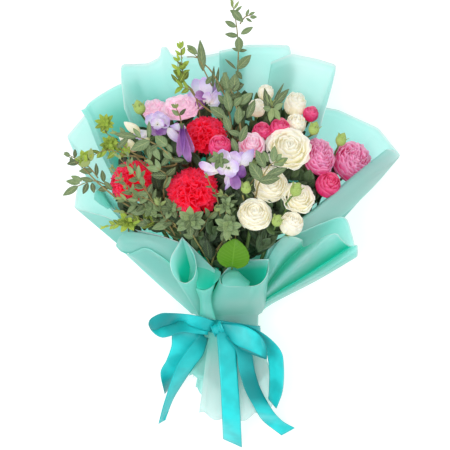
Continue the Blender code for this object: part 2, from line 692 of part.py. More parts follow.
def build_sprig(name, route, pairs, length, width, material, heads):
    """A leafy sprig: its stem with pairs of leaves, each pair a quarter turn from the last."""
    route = [bend_clear(point, heads, 4.0) for point in route]
    spans = len(route) + 1
    path = [smooth_point(route, step / spans) for step in range(spans + 1)]
    radii = [TWIG_RADIUS * (1 - 0.4 * step / spans) for step in range(spans + 1)]
    shapes = [tube(path, radii, 3)]
    small = length < SMALL_LEAF
    for pair in range(pairs):
        share = 0.16 + 0.8 * pair / (pairs - 1)
        root = smooth_point(path, share)
        forward = (smooth_point(path, share + 0.04) - smooth_point(path, share - 0.04)).normalized()
        first, second = across(forward)
        turn = math.pi / 2 * pair + 0.5
        size = 1.0 - 0.4 * pair / (pairs - 1)
        for side in (0, math.pi):
            outward = first * math.cos(turn + side) + second * math.sin(turn + side)
            lean = math.radians(52 - 16 * pair / pairs)
            reach = (forward * math.cos(lean) + outward * math.sin(lean)) * length * size
            shapes.append(blade(root, root + reach, forward.cross(outward), width * size, heads, small))
    end = (path[-1] - path[-2]).normalized()
    top_tip = path[-1] + end * length * 0.45
    shapes.append(blade(path[-1] - end, top_tip, across(end)[0], width * 0.5, heads, True))
    join_solids(name, shapes, material)
    return path[0], (path[1] - path[0]).normalized()


def skirt_pleat(angle):
    """How far the skirt's pleats stand in or out at an angle round the waist."""
    return SKIRT_PLEAT_DEPTH * (-1) ** int(angle // (COLUMN_ANGLE * 2))


def film_point(sheet, angle, s):
    """A point of a sheet at an angle round the waist. s is -1 at the skirt's end and 1 at the rim."""
    turn = math.radians(angle)
    out = sheet["layer"] * LAYER_PITCH
    down = max(0.0, -s) * sheet["skirt"] * (1 + 0.05 * math.sin(3.1 * turn + sheet["layer"]))
    flare = down / SKIRT_LENGTH
    half_width = FILM_HALF_WIDTH + (SKIRT_HALF_WIDTH - FILM_HALF_WIDTH) * flare + out
    half_height = FILM_HALF_HEIGHT + (SKIRT_HALF_HEIGHT - FILM_HALF_HEIGHT) * flare + out
    pleat = skirt_pleat(angle) * min(1.0, down / PLEAT_START)
    point = Vector((WAIST_X + (half_width + pleat) * math.cos(turn), NECK_TOP_Y,
                    WAIST_Z + (half_height + pleat) * math.sin(turn)))
    if s < 0:
        point.y = NECK_END_Y - down
        return point
    first, last = sheet["angles"]
    rim = smooth_point(sheet["rim"], (angle - first) / (last - first))
    rim.z = max(rim.z, 0.0)
    placed = point + (rim - point) * s
    under = (LOWEST_LAYER - sheet["layer"]) * LAYER_PITCH
    settled = max(0.0, 1 - s / FLOOR_SHARE)
    resting = (point.z - under) * settled + under + rim.z * s ** FLOOR_LIFT
    on_floor = min(1.0, max(0.0, -1.6 * math.sin(turn) - 0.3))
    placed.z += (resting - placed.z) * on_floor
    fold = sheet.get("pleat_depth", 0.0) * (-1) ** int(angle // COLUMN_ANGLE) * s
    placed.z += fold
    placed.y -= fold * 0.4
    return placed


def build_film(material):
    """Every sheet of film, from its skirt through the neck to its rim."""
    for name, sheet in SHEETS.items():
        levels = (-1.0, -PLEAT_START / sheet["skirt"], NECK_END_LEVEL, 0.0, FLOOR_SHARE, 0.66, 1.0)
        first, last = sorted(sheet["angles"])
        columns = range(first, last + COLUMN_ANGLE, COLUMN_ANGLE)
        grid = [[film_point(sheet, angle, s) for angle in columns] for s in levels]
        make_solid(name, *film_grid(grid), material)


def build_roll(material):
    """The open cone of rolled film at the front left."""
    foot = Vector(ROLL_FOOT)
    mouth = Vector(ROLL_MOUTH)
    tip = Vector(ROLL_TIP)
    axis = (mouth - foot).normalized()
    first, second = across(axis)
    grid = []
    for step in range(ROLL_STEPS + 1):
        t = step / ROLL_STEPS
        middle = foot.lerp(mouth, t)
        radius = ROLL_FOOT_RADIUS + (ROLL_MOUTH_RADIUS - ROLL_FOOT_RADIUS) * t
        row = []
        for side in range(ROLL_SIDES + 1):
            turn = math.radians(20 + 320 * side / ROLL_SIDES)
            point = middle + (first * math.cos(turn) + second * math.sin(turn)) * radius
            toward = max(0.0, (point - middle).normalized().dot((tip - mouth).normalized()))
            point += (tip - mouth).normalized() * ROLL_MOUTH_LENGTH * toward ** 2 * t
            row.append(point)
        grid.append(row)
    make_solid("film_roll", *film_grid(grid), material)


def strip(route, width, steps):
    """A flat ribbon along a route of points and facing directions."""
    centres = [point for point, _ in route]
    facings = [facing for _, facing in route]
    grid = []
    for step in range(steps + 1):
        share = step / steps
        centre = smooth_point(centres, share)
        forward = (smooth_point(centres, share + 0.02) - smooth_point(centres, share - 0.02)).normalized()
        sideways = forward.cross(smooth_point(facings, share)).normalized()
        grid.append([centre - sideways * width / 2, centre + sideways * width / 2])
    return film_grid(grid, RIBBON_THICKNESS)


def knot_shape():
    """The gathered knot of the bow: a pillow with a waist where the ribbon is pulled tight."""
    middle = Vector(KNOT_MIDDLE)
    length, width, height = KNOT_SIZE
    rings = []
    for share, grow in ((-0.5, 0.55), (-0.3, 1.0), (-0.08, 0.86), (0.1, 1.0), (0.34, 0.9), (0.5, 0.5)):
        rings.append([middle + Vector((length * share, width / 2 * grow * math.cos(math.tau * side / 10),
                                       height / 2 * grow * math.sin(math.tau * side / 10)))
                      for side in range(10)])
    return ring_solid(rings, middle - Vector((length / 2, 0, 0)), middle + Vector((length / 2, 0, 0)))


def closed_band(half_width, half_height, thickness, width, sides):
    """A flat band that runs once round the waist, from its inner size."""
    points = []
    faces = []
    for side in range(sides):
        turn = math.tau * side / sides
        for out in (0.0, thickness):
            for along in (-width / 2, width / 2):
                points.append(Vector((WAIST_X + (half_width + out) * math.cos(turn), WAIST_Y + along,
                                      WAIST_Z + (half_height + out) * math.sin(turn))))
        a = side * 4
        b = (side + 1) % sides * 4
        for one, two in ((0, 1), (1, 3), (3, 2), (2, 0)):
            faces.append((a + one, b + one, b + two))
            faces.append((a + one, b + two, a + two))
    return points, faces


def build_ribbon(material):
    """The band round the waist, and the bow: knot, two loops and five tails."""
    out = FILM_LAYERS * LAYER_PITCH + FILM_THICKNESS / 2 + BAND_GAP
    points, faces = closed_band(FILM_HALF_WIDTH + out, FILM_HALF_HEIGHT + out, RIBBON_THICKNESS, BAND_WIDTH,
                                BAND_SIDES)
    make_solid("ribbon_band", points, faces, material)
    shapes = [knot_shape()]
    for route in list(LOOPS.values()) + list(TAILS.values()):
        shapes.append(strip(route, RIBBON_WIDTH, len(route) + 1))
    join_solids("ribbon_bow", shapes, material, "MANIFOLD")


def build_tie(material):
    """The string tie round the stems, under the film."""
    points, faces = closed_band(CORE_HALF_WIDTH + TIE_GAP, CORE_HALF_HEIGHT + TIE_GAP, TIE_THICKNESS, TIE_WIDTH,
                                TIE_SIDES)
    make_solid("stem_tie", points, faces, material)


def set_down():
    """Move everything so that the origin is under the middle of the bouquet, on the floor."""
    low = Vector((1e9, 1e9, 1e9))
    high = -low
    for item in bpy.data.objects:
        for vertex in item.data.vertices:
            for axis in range(3):
                low[axis] = min(low[axis], vertex.co[axis])
                high[axis] = max(high[axis], vertex.co[axis])
    shift = Vector((-(low.x + high.x) / 2, -(low.y + high.y) / 2, -low.z))
    for item in bpy.data.objects:
        item.data.transform(Matrix.Translation(shift))


def main():
    clear_scene()
    materials = {
        "carnation": make_material("carnation_red", (0.70, 0.01, 0.04), 0.6),
        "white": make_material("rose_white", (0.90, 0.87, 0.74), 0.55),
        "pink": make_material("rose_pink", (0.75, 0.05, 0.20), 0.55),
        "pink_side": make_material("rose_pale_pink", (0.90, 0.35, 0.52), 0.55),
        "lisianthus": make_material("lisianthus_pink", (0.94, 0.55, 0.68), 0.55),
        "freesia": make_material("freesia_lilac", (0.50, 0.35, 0.75), 0.5),
        "grey": make_material("eucalyptus_grey", (0.16, 0.24, 0.14), 0.6),
        "young": make_material("eucalyptus_young", (0.30, 0.42, 0.06), 0.6),
        "green": make_material("stem_green", (0.09, 0.18, 0.04), 0.55),
        "leaf": make_material("leaf_green", (0.14, 0.34, 0.03), 0.5),
        "film": make_material("film_mint", (0.30, 0.72, 0.62), 0.4),
        "ribbon": make_material("ribbon_turquoise", (0.0, 0.52, 0.55), 0.3),
        "string": make_material("tie_string", (0.45, 0.35, 0.20), 0.9),
    }
    heads = place_heads()
    build_blooms(heads, materials)
    starts = []
    for name, route, pairs, length, width, colour, fork in SPRIGS:
        start, direction = build_sprig(name, route, pairs, length, width, materials[colour], heads)
        starts.append((start, direction, fork))
    build_stems(heads, starts, materials["green"])
    build_tie(materials["string"])
    build_film(materials["film"])
    build_roll(materials["film"])
    build_ribbon(materials["ribbon"])
    build_round_leaf(materials["leaf"])
    set_down()


main()
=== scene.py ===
"""Looks of the wrapped flower bouquet: petals, leaves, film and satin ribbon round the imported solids.

Lengths are in millimetres until a mesh is made. The bouquet lies on its back, stems towards -Y.
"""
import math
import random

import bpy
import numpy as np
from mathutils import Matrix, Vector
from mathutils.bvhtree import BVHTree


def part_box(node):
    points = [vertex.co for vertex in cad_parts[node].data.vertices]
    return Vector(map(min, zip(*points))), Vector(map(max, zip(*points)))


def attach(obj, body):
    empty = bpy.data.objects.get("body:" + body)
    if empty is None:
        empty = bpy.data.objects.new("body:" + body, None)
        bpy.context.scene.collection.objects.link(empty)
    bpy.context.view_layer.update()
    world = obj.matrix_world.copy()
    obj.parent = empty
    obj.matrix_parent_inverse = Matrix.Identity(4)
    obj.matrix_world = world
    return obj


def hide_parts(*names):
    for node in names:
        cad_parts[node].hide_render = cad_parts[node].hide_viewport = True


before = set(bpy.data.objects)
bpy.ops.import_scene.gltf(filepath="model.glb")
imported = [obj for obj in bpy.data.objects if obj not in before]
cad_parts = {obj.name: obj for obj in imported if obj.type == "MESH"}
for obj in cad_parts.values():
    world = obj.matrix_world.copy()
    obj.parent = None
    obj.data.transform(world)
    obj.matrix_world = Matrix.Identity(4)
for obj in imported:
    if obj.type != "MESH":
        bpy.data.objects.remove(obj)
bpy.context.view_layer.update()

MM = 0.001
rng = random.Random(5)

# View: straight down on the bouquet, one pixel of the 450 pixel frame is 1.3 at the frame height
CAMERA_HEIGHT = 3090.0
FRAME_HEIGHT = 90.0
PIXEL = 1.3
FRAME_PIXELS = 450
VIEW_X = -8.45
VIEW_Y = -1.95
SENSOR = 36.0

# Waist and neck, as in the solids
WAIST_X, WAIST_Y, WAIST_Z = -3.0, -134.0, 30.0
NECK_TOP_Y = -121.0
NECK_END_Y = -147.0

# The bundle of stems at the waist, and where the stems are cut
CORE_TOP_Y = -114.0
CORE_HALF_WIDTH = 28.0
CORE_HALF_HEIGHT = 15.0
CUT_END_Y = -236.0

# Film: its section at the waist and at the skirt's end, and the distance between its layers
FILM_HALF_WIDTH = 31.0
FILM_HALF_HEIGHT = 18.0
SKIRT_HALF_WIDTH = 51.0
SKIRT_HALF_HEIGHT = 18.0
SKIRT_LENGTH = 110.0
LAYER_PITCH = 1.5
LOWEST_LAYER = 4

# How far along a sheet it comes down to the floor, and how late it rises to its rim
FLOOR_SHARE = 0.34
FLOOR_LIFT = 1.7

# The fan of stems: where it spreads from, its slope at the front and the back, and its fall to the sides
FAN_APEX_Y = -177.0
FAN_APEX_Z = 25.0
FRONT_RISE, BACK_RISE = 32.0, 6.0
FRONT_ROW_Y = -10.0
FAN_DEPTH = 190.0
SIDE_DROP = 60.0
FAN_HALF_WIDTH = 200.0
HEAD_GAP = 1.2
SETTLING_ROUNDS = 80

# How far stems and leaves keep from a bloom
STEM_CLEARANCE = 3.0
SPRIG_CLEARANCE = 4.0
DARK_LEAF_CLEARANCE = 1.5

# Thin things: how thick each skin is made
FILM_SKIN = 0.45
PETAL_SKIN = 0.35
LEAF_SKIN = 0.45
RIBBON_SKIN = 0.35

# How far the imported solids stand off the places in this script
low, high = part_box("ribbon_band")
SHIFT = (Vector(low) + Vector(high)) / 2 / MM - Vector((WAIST_X, WAIST_Y, WAIST_Z))

# Where sprays of blooms and sprigs leave their common stem
FORKS = {
    "white_spray": (44, -34, 84), "white_back_spray": (42, 70, 74), "pink_spray": (92, 8, 72),
    "pink_small_spray": (26, 34, 84), "lisianthus_spray": (-56, 62, 70), "freesia_spray": (-44, 40, 78),
    "grey_back": (2, 96, 70), "grey_left": (-86, -14, 84), "grey_front": (-26, -60, 84),
    "grey_right": (26, 2, 104), "young_left": (-96, 62, 74),
}

# Each bloom: name, form, x, y, width, lift, facing, fork
BLOOMS = [
    ("carnation_front", "carnation", -49, 42, 70, 0, 66, None),
    ("carnation_back", "carnation", -38, 118, 58, 0, 52, None),
    ("carnation_left", "carnation", -129, 57, 60, 0, 60, None),
    ("white_rose_front", "rose", 29, 11, 44, 4, 62, "white_spray"),
    ("white_rose_open", "rose", 78, 95, 53, 6, 64, "pink_small_spray"),
    ("white_rose_middle", "rose", 55, 50, 42, -4, 66, "white_spray"),
    ("white_rose_right", "rose", 89, 33, 42, 5, 62, "white_spray"),
    ("white_rose_low", "bud_rose", 77, -3, 32, 4, 50, "white_spray"),
    ("white_rose_upper", "bud_rose", 85, 158, 30, 0, 40, "white_back_spray"),
    ("white_rose_behind", "bud_rose", 84, 129, 27, -4, 50, "white_back_spray"),
    ("white_bud_left", "bud_rose", 33, 150, 24, 0, 42, "white_back_spray"),
    ("white_bud_top", "bud_rose", 45, 171, 22, 0, 38, "white_back_spray"),
    ("pink_rose_tall", "rose", 117, 87, 42, 0, 52, "pink_spray"),
    ("pink_rose_outer", "rose", 160, 80, 54, -8, 55, "pink_spray"),
    ("pink_rose_low", "bud_rose", 125, 50, 34, 2, 60, "pink_spray"),
    ("pink_bud_centre", "bud_rose", 41, 122, 24, 0, 50, "pink_small_spray"),
    ("pink_bud_right", "bud_rose", 61, 122, 24, 6, 50, "pink_small_spray"),
    ("pink_rose_pale", "bud_rose", 26, 100, 31, 8, 62, "pink_small_spray"),
    ("pink_rose_left", "bud_rose", -18, 99, 30, 8, 60, "pink_small_spray"),
    ("pink_bud_top", "bud_rose", 102, 144, 21, 0, 40, "white_back_spray"),
    ("lisianthus_pink", "lisianthus", -66, 152, 50, 0, 46, "lisianthus_spray"),
    ("lisianthus_side", "lisianthus", -102, 150, 35, -6, 38, "lisianthus_spray"),
    ("freesia_top", "freesia", -37, 174, 50, 4, 40, "freesia_spray"),
    ("freesia_left", "freesia", -98, 124, 48, 10, 52, "freesia_spray"),
    ("freesia_falling", "freesia", -62, 102, 38, 16, 30, "freesia_spray"),
    ("freesia_centre", "freesia", -4, 72, 62, 16, 66, None),
]
# The room a form takes up and its depth, as shares of its width
FORM_ROOM = {"carnation": 1.0, "rose": 1.0, "bud_rose": 1.0, "lisianthus": 1.0, "freesia": 0.72}
FORM_DEPTH = {"carnation": 0.62, "rose": 0.74, "bud_rose": 0.95, "lisianthus": 0.62, "freesia": 0.72}

# Each sprig: name, route, pairs of leaves, leaf length and width, finish, fork
SPRIGS = [
    ("eucalyptus_tall", [(9, 150, 66), (8, 190, 68), (9, 225, 72), (7, 255, 76), (2, 284, 82)],
     11, 19, 9.5, "grey", "grey_back"),
    ("eucalyptus_twig", [(-20, 180, 84), (-28, 197, 82), (-38, 210, 82), (-48, 220, 84)],
     4, 23, 11, "grey", "grey_back"),
    ("young_shoot_back", [(-62, 186, 84), (-64, 202, 82), (-66, 230, 84)],
     9, 13, 7, "young", "grey_back"),
    ("eucalyptus_centre", [(12, 118, 128), (9, 138, 122), (2, 165, 108), (-6, 186, 98)],
     9, 20, 10, "grey", "grey_back"),
    ("young_shoot_left", [(-134, 96, 112), (-150, 108, 104), (-166, 128, 98)],
     9, 14, 7, "young", "young_left"),
    ("eucalyptus_arch", [(-74, 82, 142), (-92, 98, 144), (-118, 110, 138), (-146, 116, 126)],
     8, 21, 11, "grey", "young_left"),
    ("eucalyptus_far_left", [(-150, 34, 116), (-172, 52, 112), (-190, 70, 106), (-210, 86, 100)],
     8, 17, 9, "grey", "grey_left"),
    ("eucalyptus_on_carnation", [(-92, 14, 122), (-108, 40, 140), (-124, 62, 146), (-144, 84, 136)],
     10, 16, 7.5, "grey", "grey_left"),
    ("young_shoot_low", [(-92, 2, 112), (-120, 4, 114), (-142, 0, 108), (-162, -4, 102)],
     9, 15, 7.5, "young", "grey_left"),
    ("eucalyptus_low", [(-74, 0, 118), (-88, 10, 128), (-92, 24, 138)], 6, 18, 9, "grey", "grey_left"),
    ("eucalyptus_star_left", [(-48, -18, 118), (-54, -6, 136), (-57, 4, 152)],
     6, 20, 10, "grey", "grey_front"),
    ("eucalyptus_star_right", [(-6, -10, 124), (-7, -4, 138), (-7, 2, 152)],
     6, 18, 9, "grey", "grey_front"),
    ("eucalyptus_on_freesia", [(14, 36, 142), (8, 56, 160), (0, 80, 164)],
     6, 13, 7, "grey", "grey_right"),
    ("eucalyptus_right", [(32, 40, 144), (36, 62, 158), (48, 78, 162), (62, 84, 162)],
     7, 20, 10, "grey", "grey_right"),
    ("eucalyptus_top_right", [(60, 142, 112), (58, 158, 108), (64, 172, 104), (72, 186, 100)],
     7, 22, 9, "grey", "white_back_spray"),
]
# Green buds in the frame: place, height, width, fork
GREEN_BUDS = [
    (314, 129, 98, 14, "white_back_spray"), (341, 140, 92, 14, "pink_spray"),
    (296, 190, 148, 15, "white_spray"), (277, 221, 142, 13, "white_spray"),
    (246, 188, 150, 13, "white_spray"), (139.5, 108, 96, 15, "lisianthus_spray"),
]
ROUND_LEAF_ROOT = Vector((0, -64, 107))
ROUND_LEAF_MIDDLE = Vector((2.5, -40, 120))
ROUND_LEAF_WIDTH = 42.0


def spot(px, py, height):
    """The point at a height that shows at a pixel of the frame, counted from its top left."""
    spread = (CAMERA_HEIGHT - height) / (CAMERA_HEIGHT - FRAME_HEIGHT) * PIXEL
    return Vector((VIEW_X + (px - FRAME_PIXELS / 2) * spread, VIEW_Y - (py - FRAME_PIXELS / 2) * spread,
                   height))


def frame_place(point):
    """The pixel of the frame at which a point shows."""
    spread = (CAMERA_HEIGHT - point[2]) / (CAMERA_HEIGHT - FRAME_HEIGHT) * PIXEL
    return (point[0] - VIEW_X) / spread + FRAME_PIXELS / 2, (VIEW_Y - point[1]) / spread + FRAME_PIXELS / 2


# The opening that the blooms stand in, as the camera sees it
OPENING = [
    (112, 182), (117, 212), (128, 229), (150, 232), (180, 236), (203, 256), (223, 270), (255, 257),
    (284, 233), (303, 219), (332, 194), (338, 178), (336, 150), (316, 136), (300, 112), (270, 92),
    (245, 90), (215, 94), (182, 108), (150, 114), (130, 128), (114, 150),
]


def inside(polygon, place):
    """Whether a place lies inside a polygon."""
    x, y = place
    hit = False
    for one, two in zip(polygon, polygon[1:] + polygon[:1]):
        if (one[1] > y) != (two[1] > y) and x < one[0] + (y - one[1]) / (two[1] - one[1]) * (two[0] - one[0]):
            hit = not hit
    return hit


def smooth_point(route, share):
    """A point on the smooth curve through a route, at a share from 0 to 1."""
    spans = len(route) - 1
    place = min(max(share, 0.0), 1.0) * spans
    index = min(int(place), spans - 1)
    t = place - index
    here = Vector(route[index])
    after = Vector(route[index + 1])
    before = Vector(route[index - 1]) if index > 0 else here * 2 - after
    beyond = Vector(route[index + 2]) if index + 2 <= spans else after * 2 - here
    return 0.5 * (2 * here + (after - before) * t + (2 * before - 5 * here + 4 * after - beyond) * t ** 2
                  + (3 * here - before - 3 * after + beyond) * t ** 3)


def across(direction):
    """Two unit vectors at right angles to a direction."""
    direction = direction.normalized()
    helper = Vector((0, 0, 1)) if abs(direction.z) < 0.9 else Vector((1, 0, 0))
    first = direction.cross(helper).normalized()
    return first, direction.cross(first).normalized()


# Materials

def new_node(tree, kind, **settings):
    """A shader node with its settings."""
    node = tree.nodes.new("ShaderNode" + kind)
    for key, value in settings.items():
        setattr(node, key, value)
    return node


def feed(tree, socket, value):
    """Give an input its value: another node's socket, or a constant."""
    if isinstance(value, bpy.types.NodeSocket):
        tree.links.new(value, socket)
    else:
        socket.default_value = value


def mix_colour(tree, share, one, two, blend="MIX"):
    """Mix two colours by a share."""
    node = new_node(tree, "Mix", data_type="RGBA", blend_type=blend)
    for place, value in (("Factor", share), (6, one), (7, two)):
        feed(tree, node.inputs[place], value)
    return node.outputs[2]


def work(tree, operation, one, two=0.0):
    """A maths node."""
    node = new_node(tree, "Math", operation=operation)
    feed(tree, node.inputs[0], one)
    feed(tree, node.inputs[1], two)
    return node.outputs[0]


def ramp(tree, value, start, end, low=0.0, high=1.0):
    """Map a value smoothly from one range to another."""
    node = new_node(tree, "MapRange", interpolation_type="SMOOTHSTEP")
    for socket, given in zip(node.inputs, (value, start, end, low, high)):
        feed(tree, socket, given)
    return node.outputs[0]


def tinted(tree, colour, tint):
    """A colour made lighter or darker by a number."""
    level = new_node(tree, "CombineColor")
    for socket in level.inputs[:3]:
        tree.links.new(tint, socket)
    return mix_colour(tree, 1.0, colour, level.outputs[0], "MULTIPLY")


def speckle(tree, scale, detail=3.0, stretch=None):
    """Noise in the object's own space."""
    place = new_node(tree, "TexCoord").outputs["Object"]
    if stretch:
        mapping = new_node(tree, "Mapping")
        mapping.inputs["Scale"].default_value = stretch
        tree.links.new(place, mapping.inputs[0])
        place = mapping.outputs[0]
    noise = new_node(tree, "TexNoise")
    for label, value in (("Scale", scale), ("Detail", detail), ("Vector", place)):
        feed(tree, noise.inputs[label], value)
    return noise.outputs[0]


def growth(tree):
    """How far along, how far across and which shade: stored on every petal, leaf and sheet."""
    reader = new_node(tree, "Attribute", attribute_name="grow")
    split = new_node(tree, "SeparateColor")
    tree.links.new(reader.outputs["Color"], split.inputs[0])
    return split.outputs[0], split.outputs[1], split.outputs[2]


def off_middle(tree, over):
    """How far a place lies off the middle line: 0 on it and 1 at either edge."""
    return work(tree, "ABSOLUTE", work(tree, "SUBTRACT", work(tree, "MULTIPLY", over, 2.0), 1.0))


def start_group(name, colours, numbers):
    """A node group with named colours and numbers going in, and a colour and a height coming out."""
    tree = bpy.data.node_groups.new(name, "ShaderNodeTree")
    for direction, labels, kind in (("INPUT", colours, "Color"), ("INPUT", numbers, "Float"),
                                    ("OUTPUT", ["Colour"], "Color"), ("OUTPUT", ["Height"], "Float")):
        for label in labels:
            tree.interface.new_socket(label, in_out=direction, socket_type="NodeSocket" + kind)
    return tree, tree.nodes.new("NodeGroupInput").outputs


def end_group(tree, colour, height):
    """Join the colour and the height to the group's outputs."""
    out = tree.nodes.new("NodeGroupOutput")
    tree.links.new(colour, out.inputs["Colour"])
    tree.links.new(height, out.inputs["Height"])
    return tree


PETAL_COLOURS, PETAL_NUMBERS = ["Throat", "Body", "Rim"], ["Rim start", "Vein", "Mottle"]
LEAF_COLOURS, LEAF_NUMBERS = ["Blade", "Rib", "Young"], ["Rib width", "Veins", "Bloom"]
WAX_TONE = (0.42, 0.50, 0.34, 1.0)


def petal_group():
    """Petals: throat, body and rim colours, with fine veins, mottling and a shade of its own for each."""
    tree, given = start_group("petal_tone", PETAL_COLOURS, PETAL_NUMBERS)
    along, over, shade = growth(tree)
    # The throat colour is partly the petals' own tone and partly painted shade deep in the bloom; a paler rim
    # is partly painted light on the petal edges
    body = mix_colour(tree, ramp(tree, along, 0.05, 0.5), given["Throat"], given["Body"])
    body = mix_colour(tree, ramp(tree, along, given["Rim start"], 1.0), body, given["Rim"])
    lines = work(tree, "SINE", work(tree, "MULTIPLY", over, 95.0))
    lines = work(tree, "MULTIPLY", lines, ramp(tree, along, 1.0, 0.3))
    vein = work(tree, "MULTIPLY", work(tree, "ADD", lines, 1.0), given["Vein"])
    cloud = ramp(tree, speckle(tree, 160.0), 0.3, 0.7)
    dark = work(tree, "MULTIPLY", work(tree, "SUBTRACT", 1.0, cloud), given["Mottle"])
    tint = work(tree, "SUBTRACT", work(tree, "SUBTRACT", 1.0, dark), work(tree, "MULTIPLY", vein, 0.5))
    tint = work(tree, "MULTIPLY", tint, ramp(tree, shade, 0.0, 1.0, 0.86, 1.06))
    return end_group(tree, tinted(tree, body, tint), work(tree, "ADD", lines,
                                                          work(tree, "MULTIPLY", cloud, 0.6)))


def leaf_group():
    """Leaves: blade, rib and young colours, a midrib and side veins, and a waxy mottling."""
    tree, given = start_group("leaf_tone", LEAF_COLOURS, LEAF_NUMBERS)
    along, over, shade = growth(tree)
    off = off_middle(tree, over)
    rib = ramp(tree, off, 0.0, given["Rib width"], 1.0, 0.0)
    phase = work(tree, "MULTIPLY", work(tree, "SUBTRACT", along, work(tree, "MULTIPLY", off, 0.28)),
                 given["Veins"])
    side = ramp(tree, work(tree, "SINE", work(tree, "MULTIPLY", phase, math.tau)), 0.6, 1.0, 0.0, 0.45)
    lines = work(tree, "MAXIMUM", rib, side)
    wax = work(tree, "MULTIPLY", ramp(tree, speckle(tree, 210.0), 0.35, 0.75), given["Bloom"])
    blade = mix_colour(tree, wax, given["Blade"], WAX_TONE)
    blade = mix_colour(tree, ramp(tree, shade, 0.55, 1.0, 0.0, 0.7), blade, given["Young"])
    blade = tinted(tree, blade, ramp(tree, shade, 0.0, 0.62, 0.38, 1.2))
    colour = mix_colour(tree, lines, blade, given["Rib"])
    return end_group(tree, colour, work(tree, "SUBTRACT", wax, lines))


def film_group():
    """Film: a milky mint skin with soft clouds, painted shade as a deep tone inside folds, painted light
    where it is paler and a painted highlight along its rim.
    """
    tree, given = start_group("film_tone", ["Body", "Milk", "Deep", "Edge"], ["Cloud"])
    along, over, shade = growth(tree)
    cloud = work(tree, "MULTIPLY", ramp(tree, speckle(tree, 9.0, 2.0), 0.3, 0.75), given["Cloud"])
    body = mix_colour(tree, cloud, given["Body"], given["Milk"])
    # Painted shade above the middle of the shade channel, painted light below it, and a painted highlight on
    # the last of each sheet
    body = mix_colour(tree, ramp(tree, shade, 0.5, 1.0), body, given["Deep"])
    body = mix_colour(tree, ramp(tree, shade, 0.0, 0.5, 0.8, 0.0), body, given["Edge"])
    colour = mix_colour(tree, ramp(tree, along, 0.985, 1.0, 0.0, 0.7), body, given["Edge"])
    fine = speckle(tree, 420.0, 2.0, (1.0, 0.15, 1.0))
    return end_group(tree, colour, work(tree, "MULTIPLY", fine, 0.5))


def satin_group():
    """Satin: fine threads along the ribbon, a woven edge, slow changes of tone and painted shade from the
    strip's shade.
    """
    tree, given = start_group("satin_tone", ["Body", "Deep"], ["Threads"])
    along, over, shade = growth(tree)
    threads = work(tree, "SINE", work(tree, "MULTIPLY", work(tree, "MULTIPLY", over, given["Threads"]),
                                      math.tau))
    edge = ramp(tree, off_middle(tree, over), 0.9, 0.97)
    slow = ramp(tree, speckle(tree, 40.0, 2.0), 0.35, 0.7, 0.0, 0.35)
    deep_share = work(tree, "MAXIMUM", slow, work(tree, "MULTIPLY", edge, 0.5))
    body = mix_colour(tree, deep_share, given["Body"], given["Deep"])
    # Painted shade: the strip's shade darkens it towards Deep
    body = mix_colour(tree, ramp(tree, shade, 0.0, 1.0), body, given["Deep"])
    return end_group(tree, body, work(tree, "ADD", work(tree, "MULTIPLY", threads, 0.5), edge))


GROUPS = {"petal_tone": petal_group(), "leaf_tone": leaf_group(), "film_tone": film_group(),
          "satin_tone": satin_group()}


def finish(name, group, values, roughness, bump, bump_distance=0.0004, painted_glow=0.0, **fixed):
    """A material with its colour and relief from a shared group; glow is painted light: an emission that
    stands in for the light that comes through.
    """
    material = bpy.data.materials.new(name)
    material.use_nodes = True
    tree = material.node_tree
    shader = tree.nodes["Principled BSDF"]
    tone = new_node(tree, "Group")
    tone.node_tree = GROUPS[group]
    for label, value in values.items():
        tone.inputs[label].default_value = (*value, 1.0) if isinstance(value, tuple) else value
    tree.links.new(tone.outputs["Colour"], shader.inputs["Base Color"])
    relief = new_node(tree, "Bump")
    relief.inputs["Strength"].default_value = bump
    relief.inputs["Distance"].default_value = bump_distance
    tree.links.new(tone.outputs["Height"], relief.inputs["Height"])
    tree.links.new(relief.outputs["Normal"], shader.inputs["Normal"])
    shader.inputs["Roughness"].default_value = roughness
    for label, value in fixed.items():
        shader.inputs[label.replace("_", " ")].default_value = value
    if painted_glow:
        tree.links.new(tone.outputs["Colour"], shader.inputs["Emission Color"])
        shader.inputs["Emission Strength"].default_value = painted_glow
    material.diffuse_color = (*list(values.values())[0], 1.0)
    return material


PETAL_SHEEN = {"Specular_IOR_Level": 0.12, "Subsurface_Weight": 0.6, "Subsurface_Scale": 0.008,
               "Subsurface_Radius": (0.9, 0.6, 0.5)}
# Petals: throat, body and rim colours, rim start, veins, mottling, roughness, relief, glow (painted light: an
# emission for the light that comes through)
PETALS = {
    "carnation_red": ((0.5, 0.0, 0.008), (0.9, 0.002, 0.02), (1.0, 0.02, 0.06),
                      0.72, 0.05, 0.26, 0.6, 0.25, 0.2),
    "rose_white": ((0.76, 0.77, 0.36), (0.98, 0.93, 0.71), (0.98, 0.94, 0.8),
                   0.6, 0.02, 0.04, 0.5, 0.1, 0.13),
    "rose_pink": ((0.66, 0.008, 0.12), (0.78, 0.075, 0.27), (0.84, 0.29, 0.51),
                  0.6, 0.06, 0.12, 0.5, 0.2, 0.17),
    "rose_hot": ((0.62, 0.005, 0.08), (0.8, 0.025, 0.14), (0.85, 0.08, 0.24),
                 0.6, 0.06, 0.16, 0.5, 0.2, 0.17),
    "rose_pale_pink": ((0.86, 0.12, 0.3), (0.93, 0.4, 0.58), (0.95, 0.66, 0.78),
                       0.5, 0.06, 0.12, 0.5, 0.2, 0.18),
    "lisianthus_pink": ((0.92, 0.68, 0.66), (0.97, 0.68, 0.82), (0.97, 0.56, 0.74),
                        0.8, 0.05, 0.08, 0.5, 0.2, 0.2),
    "freesia_lilac": ((0.92, 0.9, 0.8), (0.82, 0.72, 0.9), (0.5, 0.32, 0.72),
                      0.5, 0.1, 0.08, 0.42, 0.2, 0.18),
    "freesia_purple": ((0.16, 0.04, 0.24), (0.28, 0.1, 0.38), (0.46, 0.24, 0.58),
                       0.6, 0.12, 0.12, 0.42, 0.2, 0.12),
}
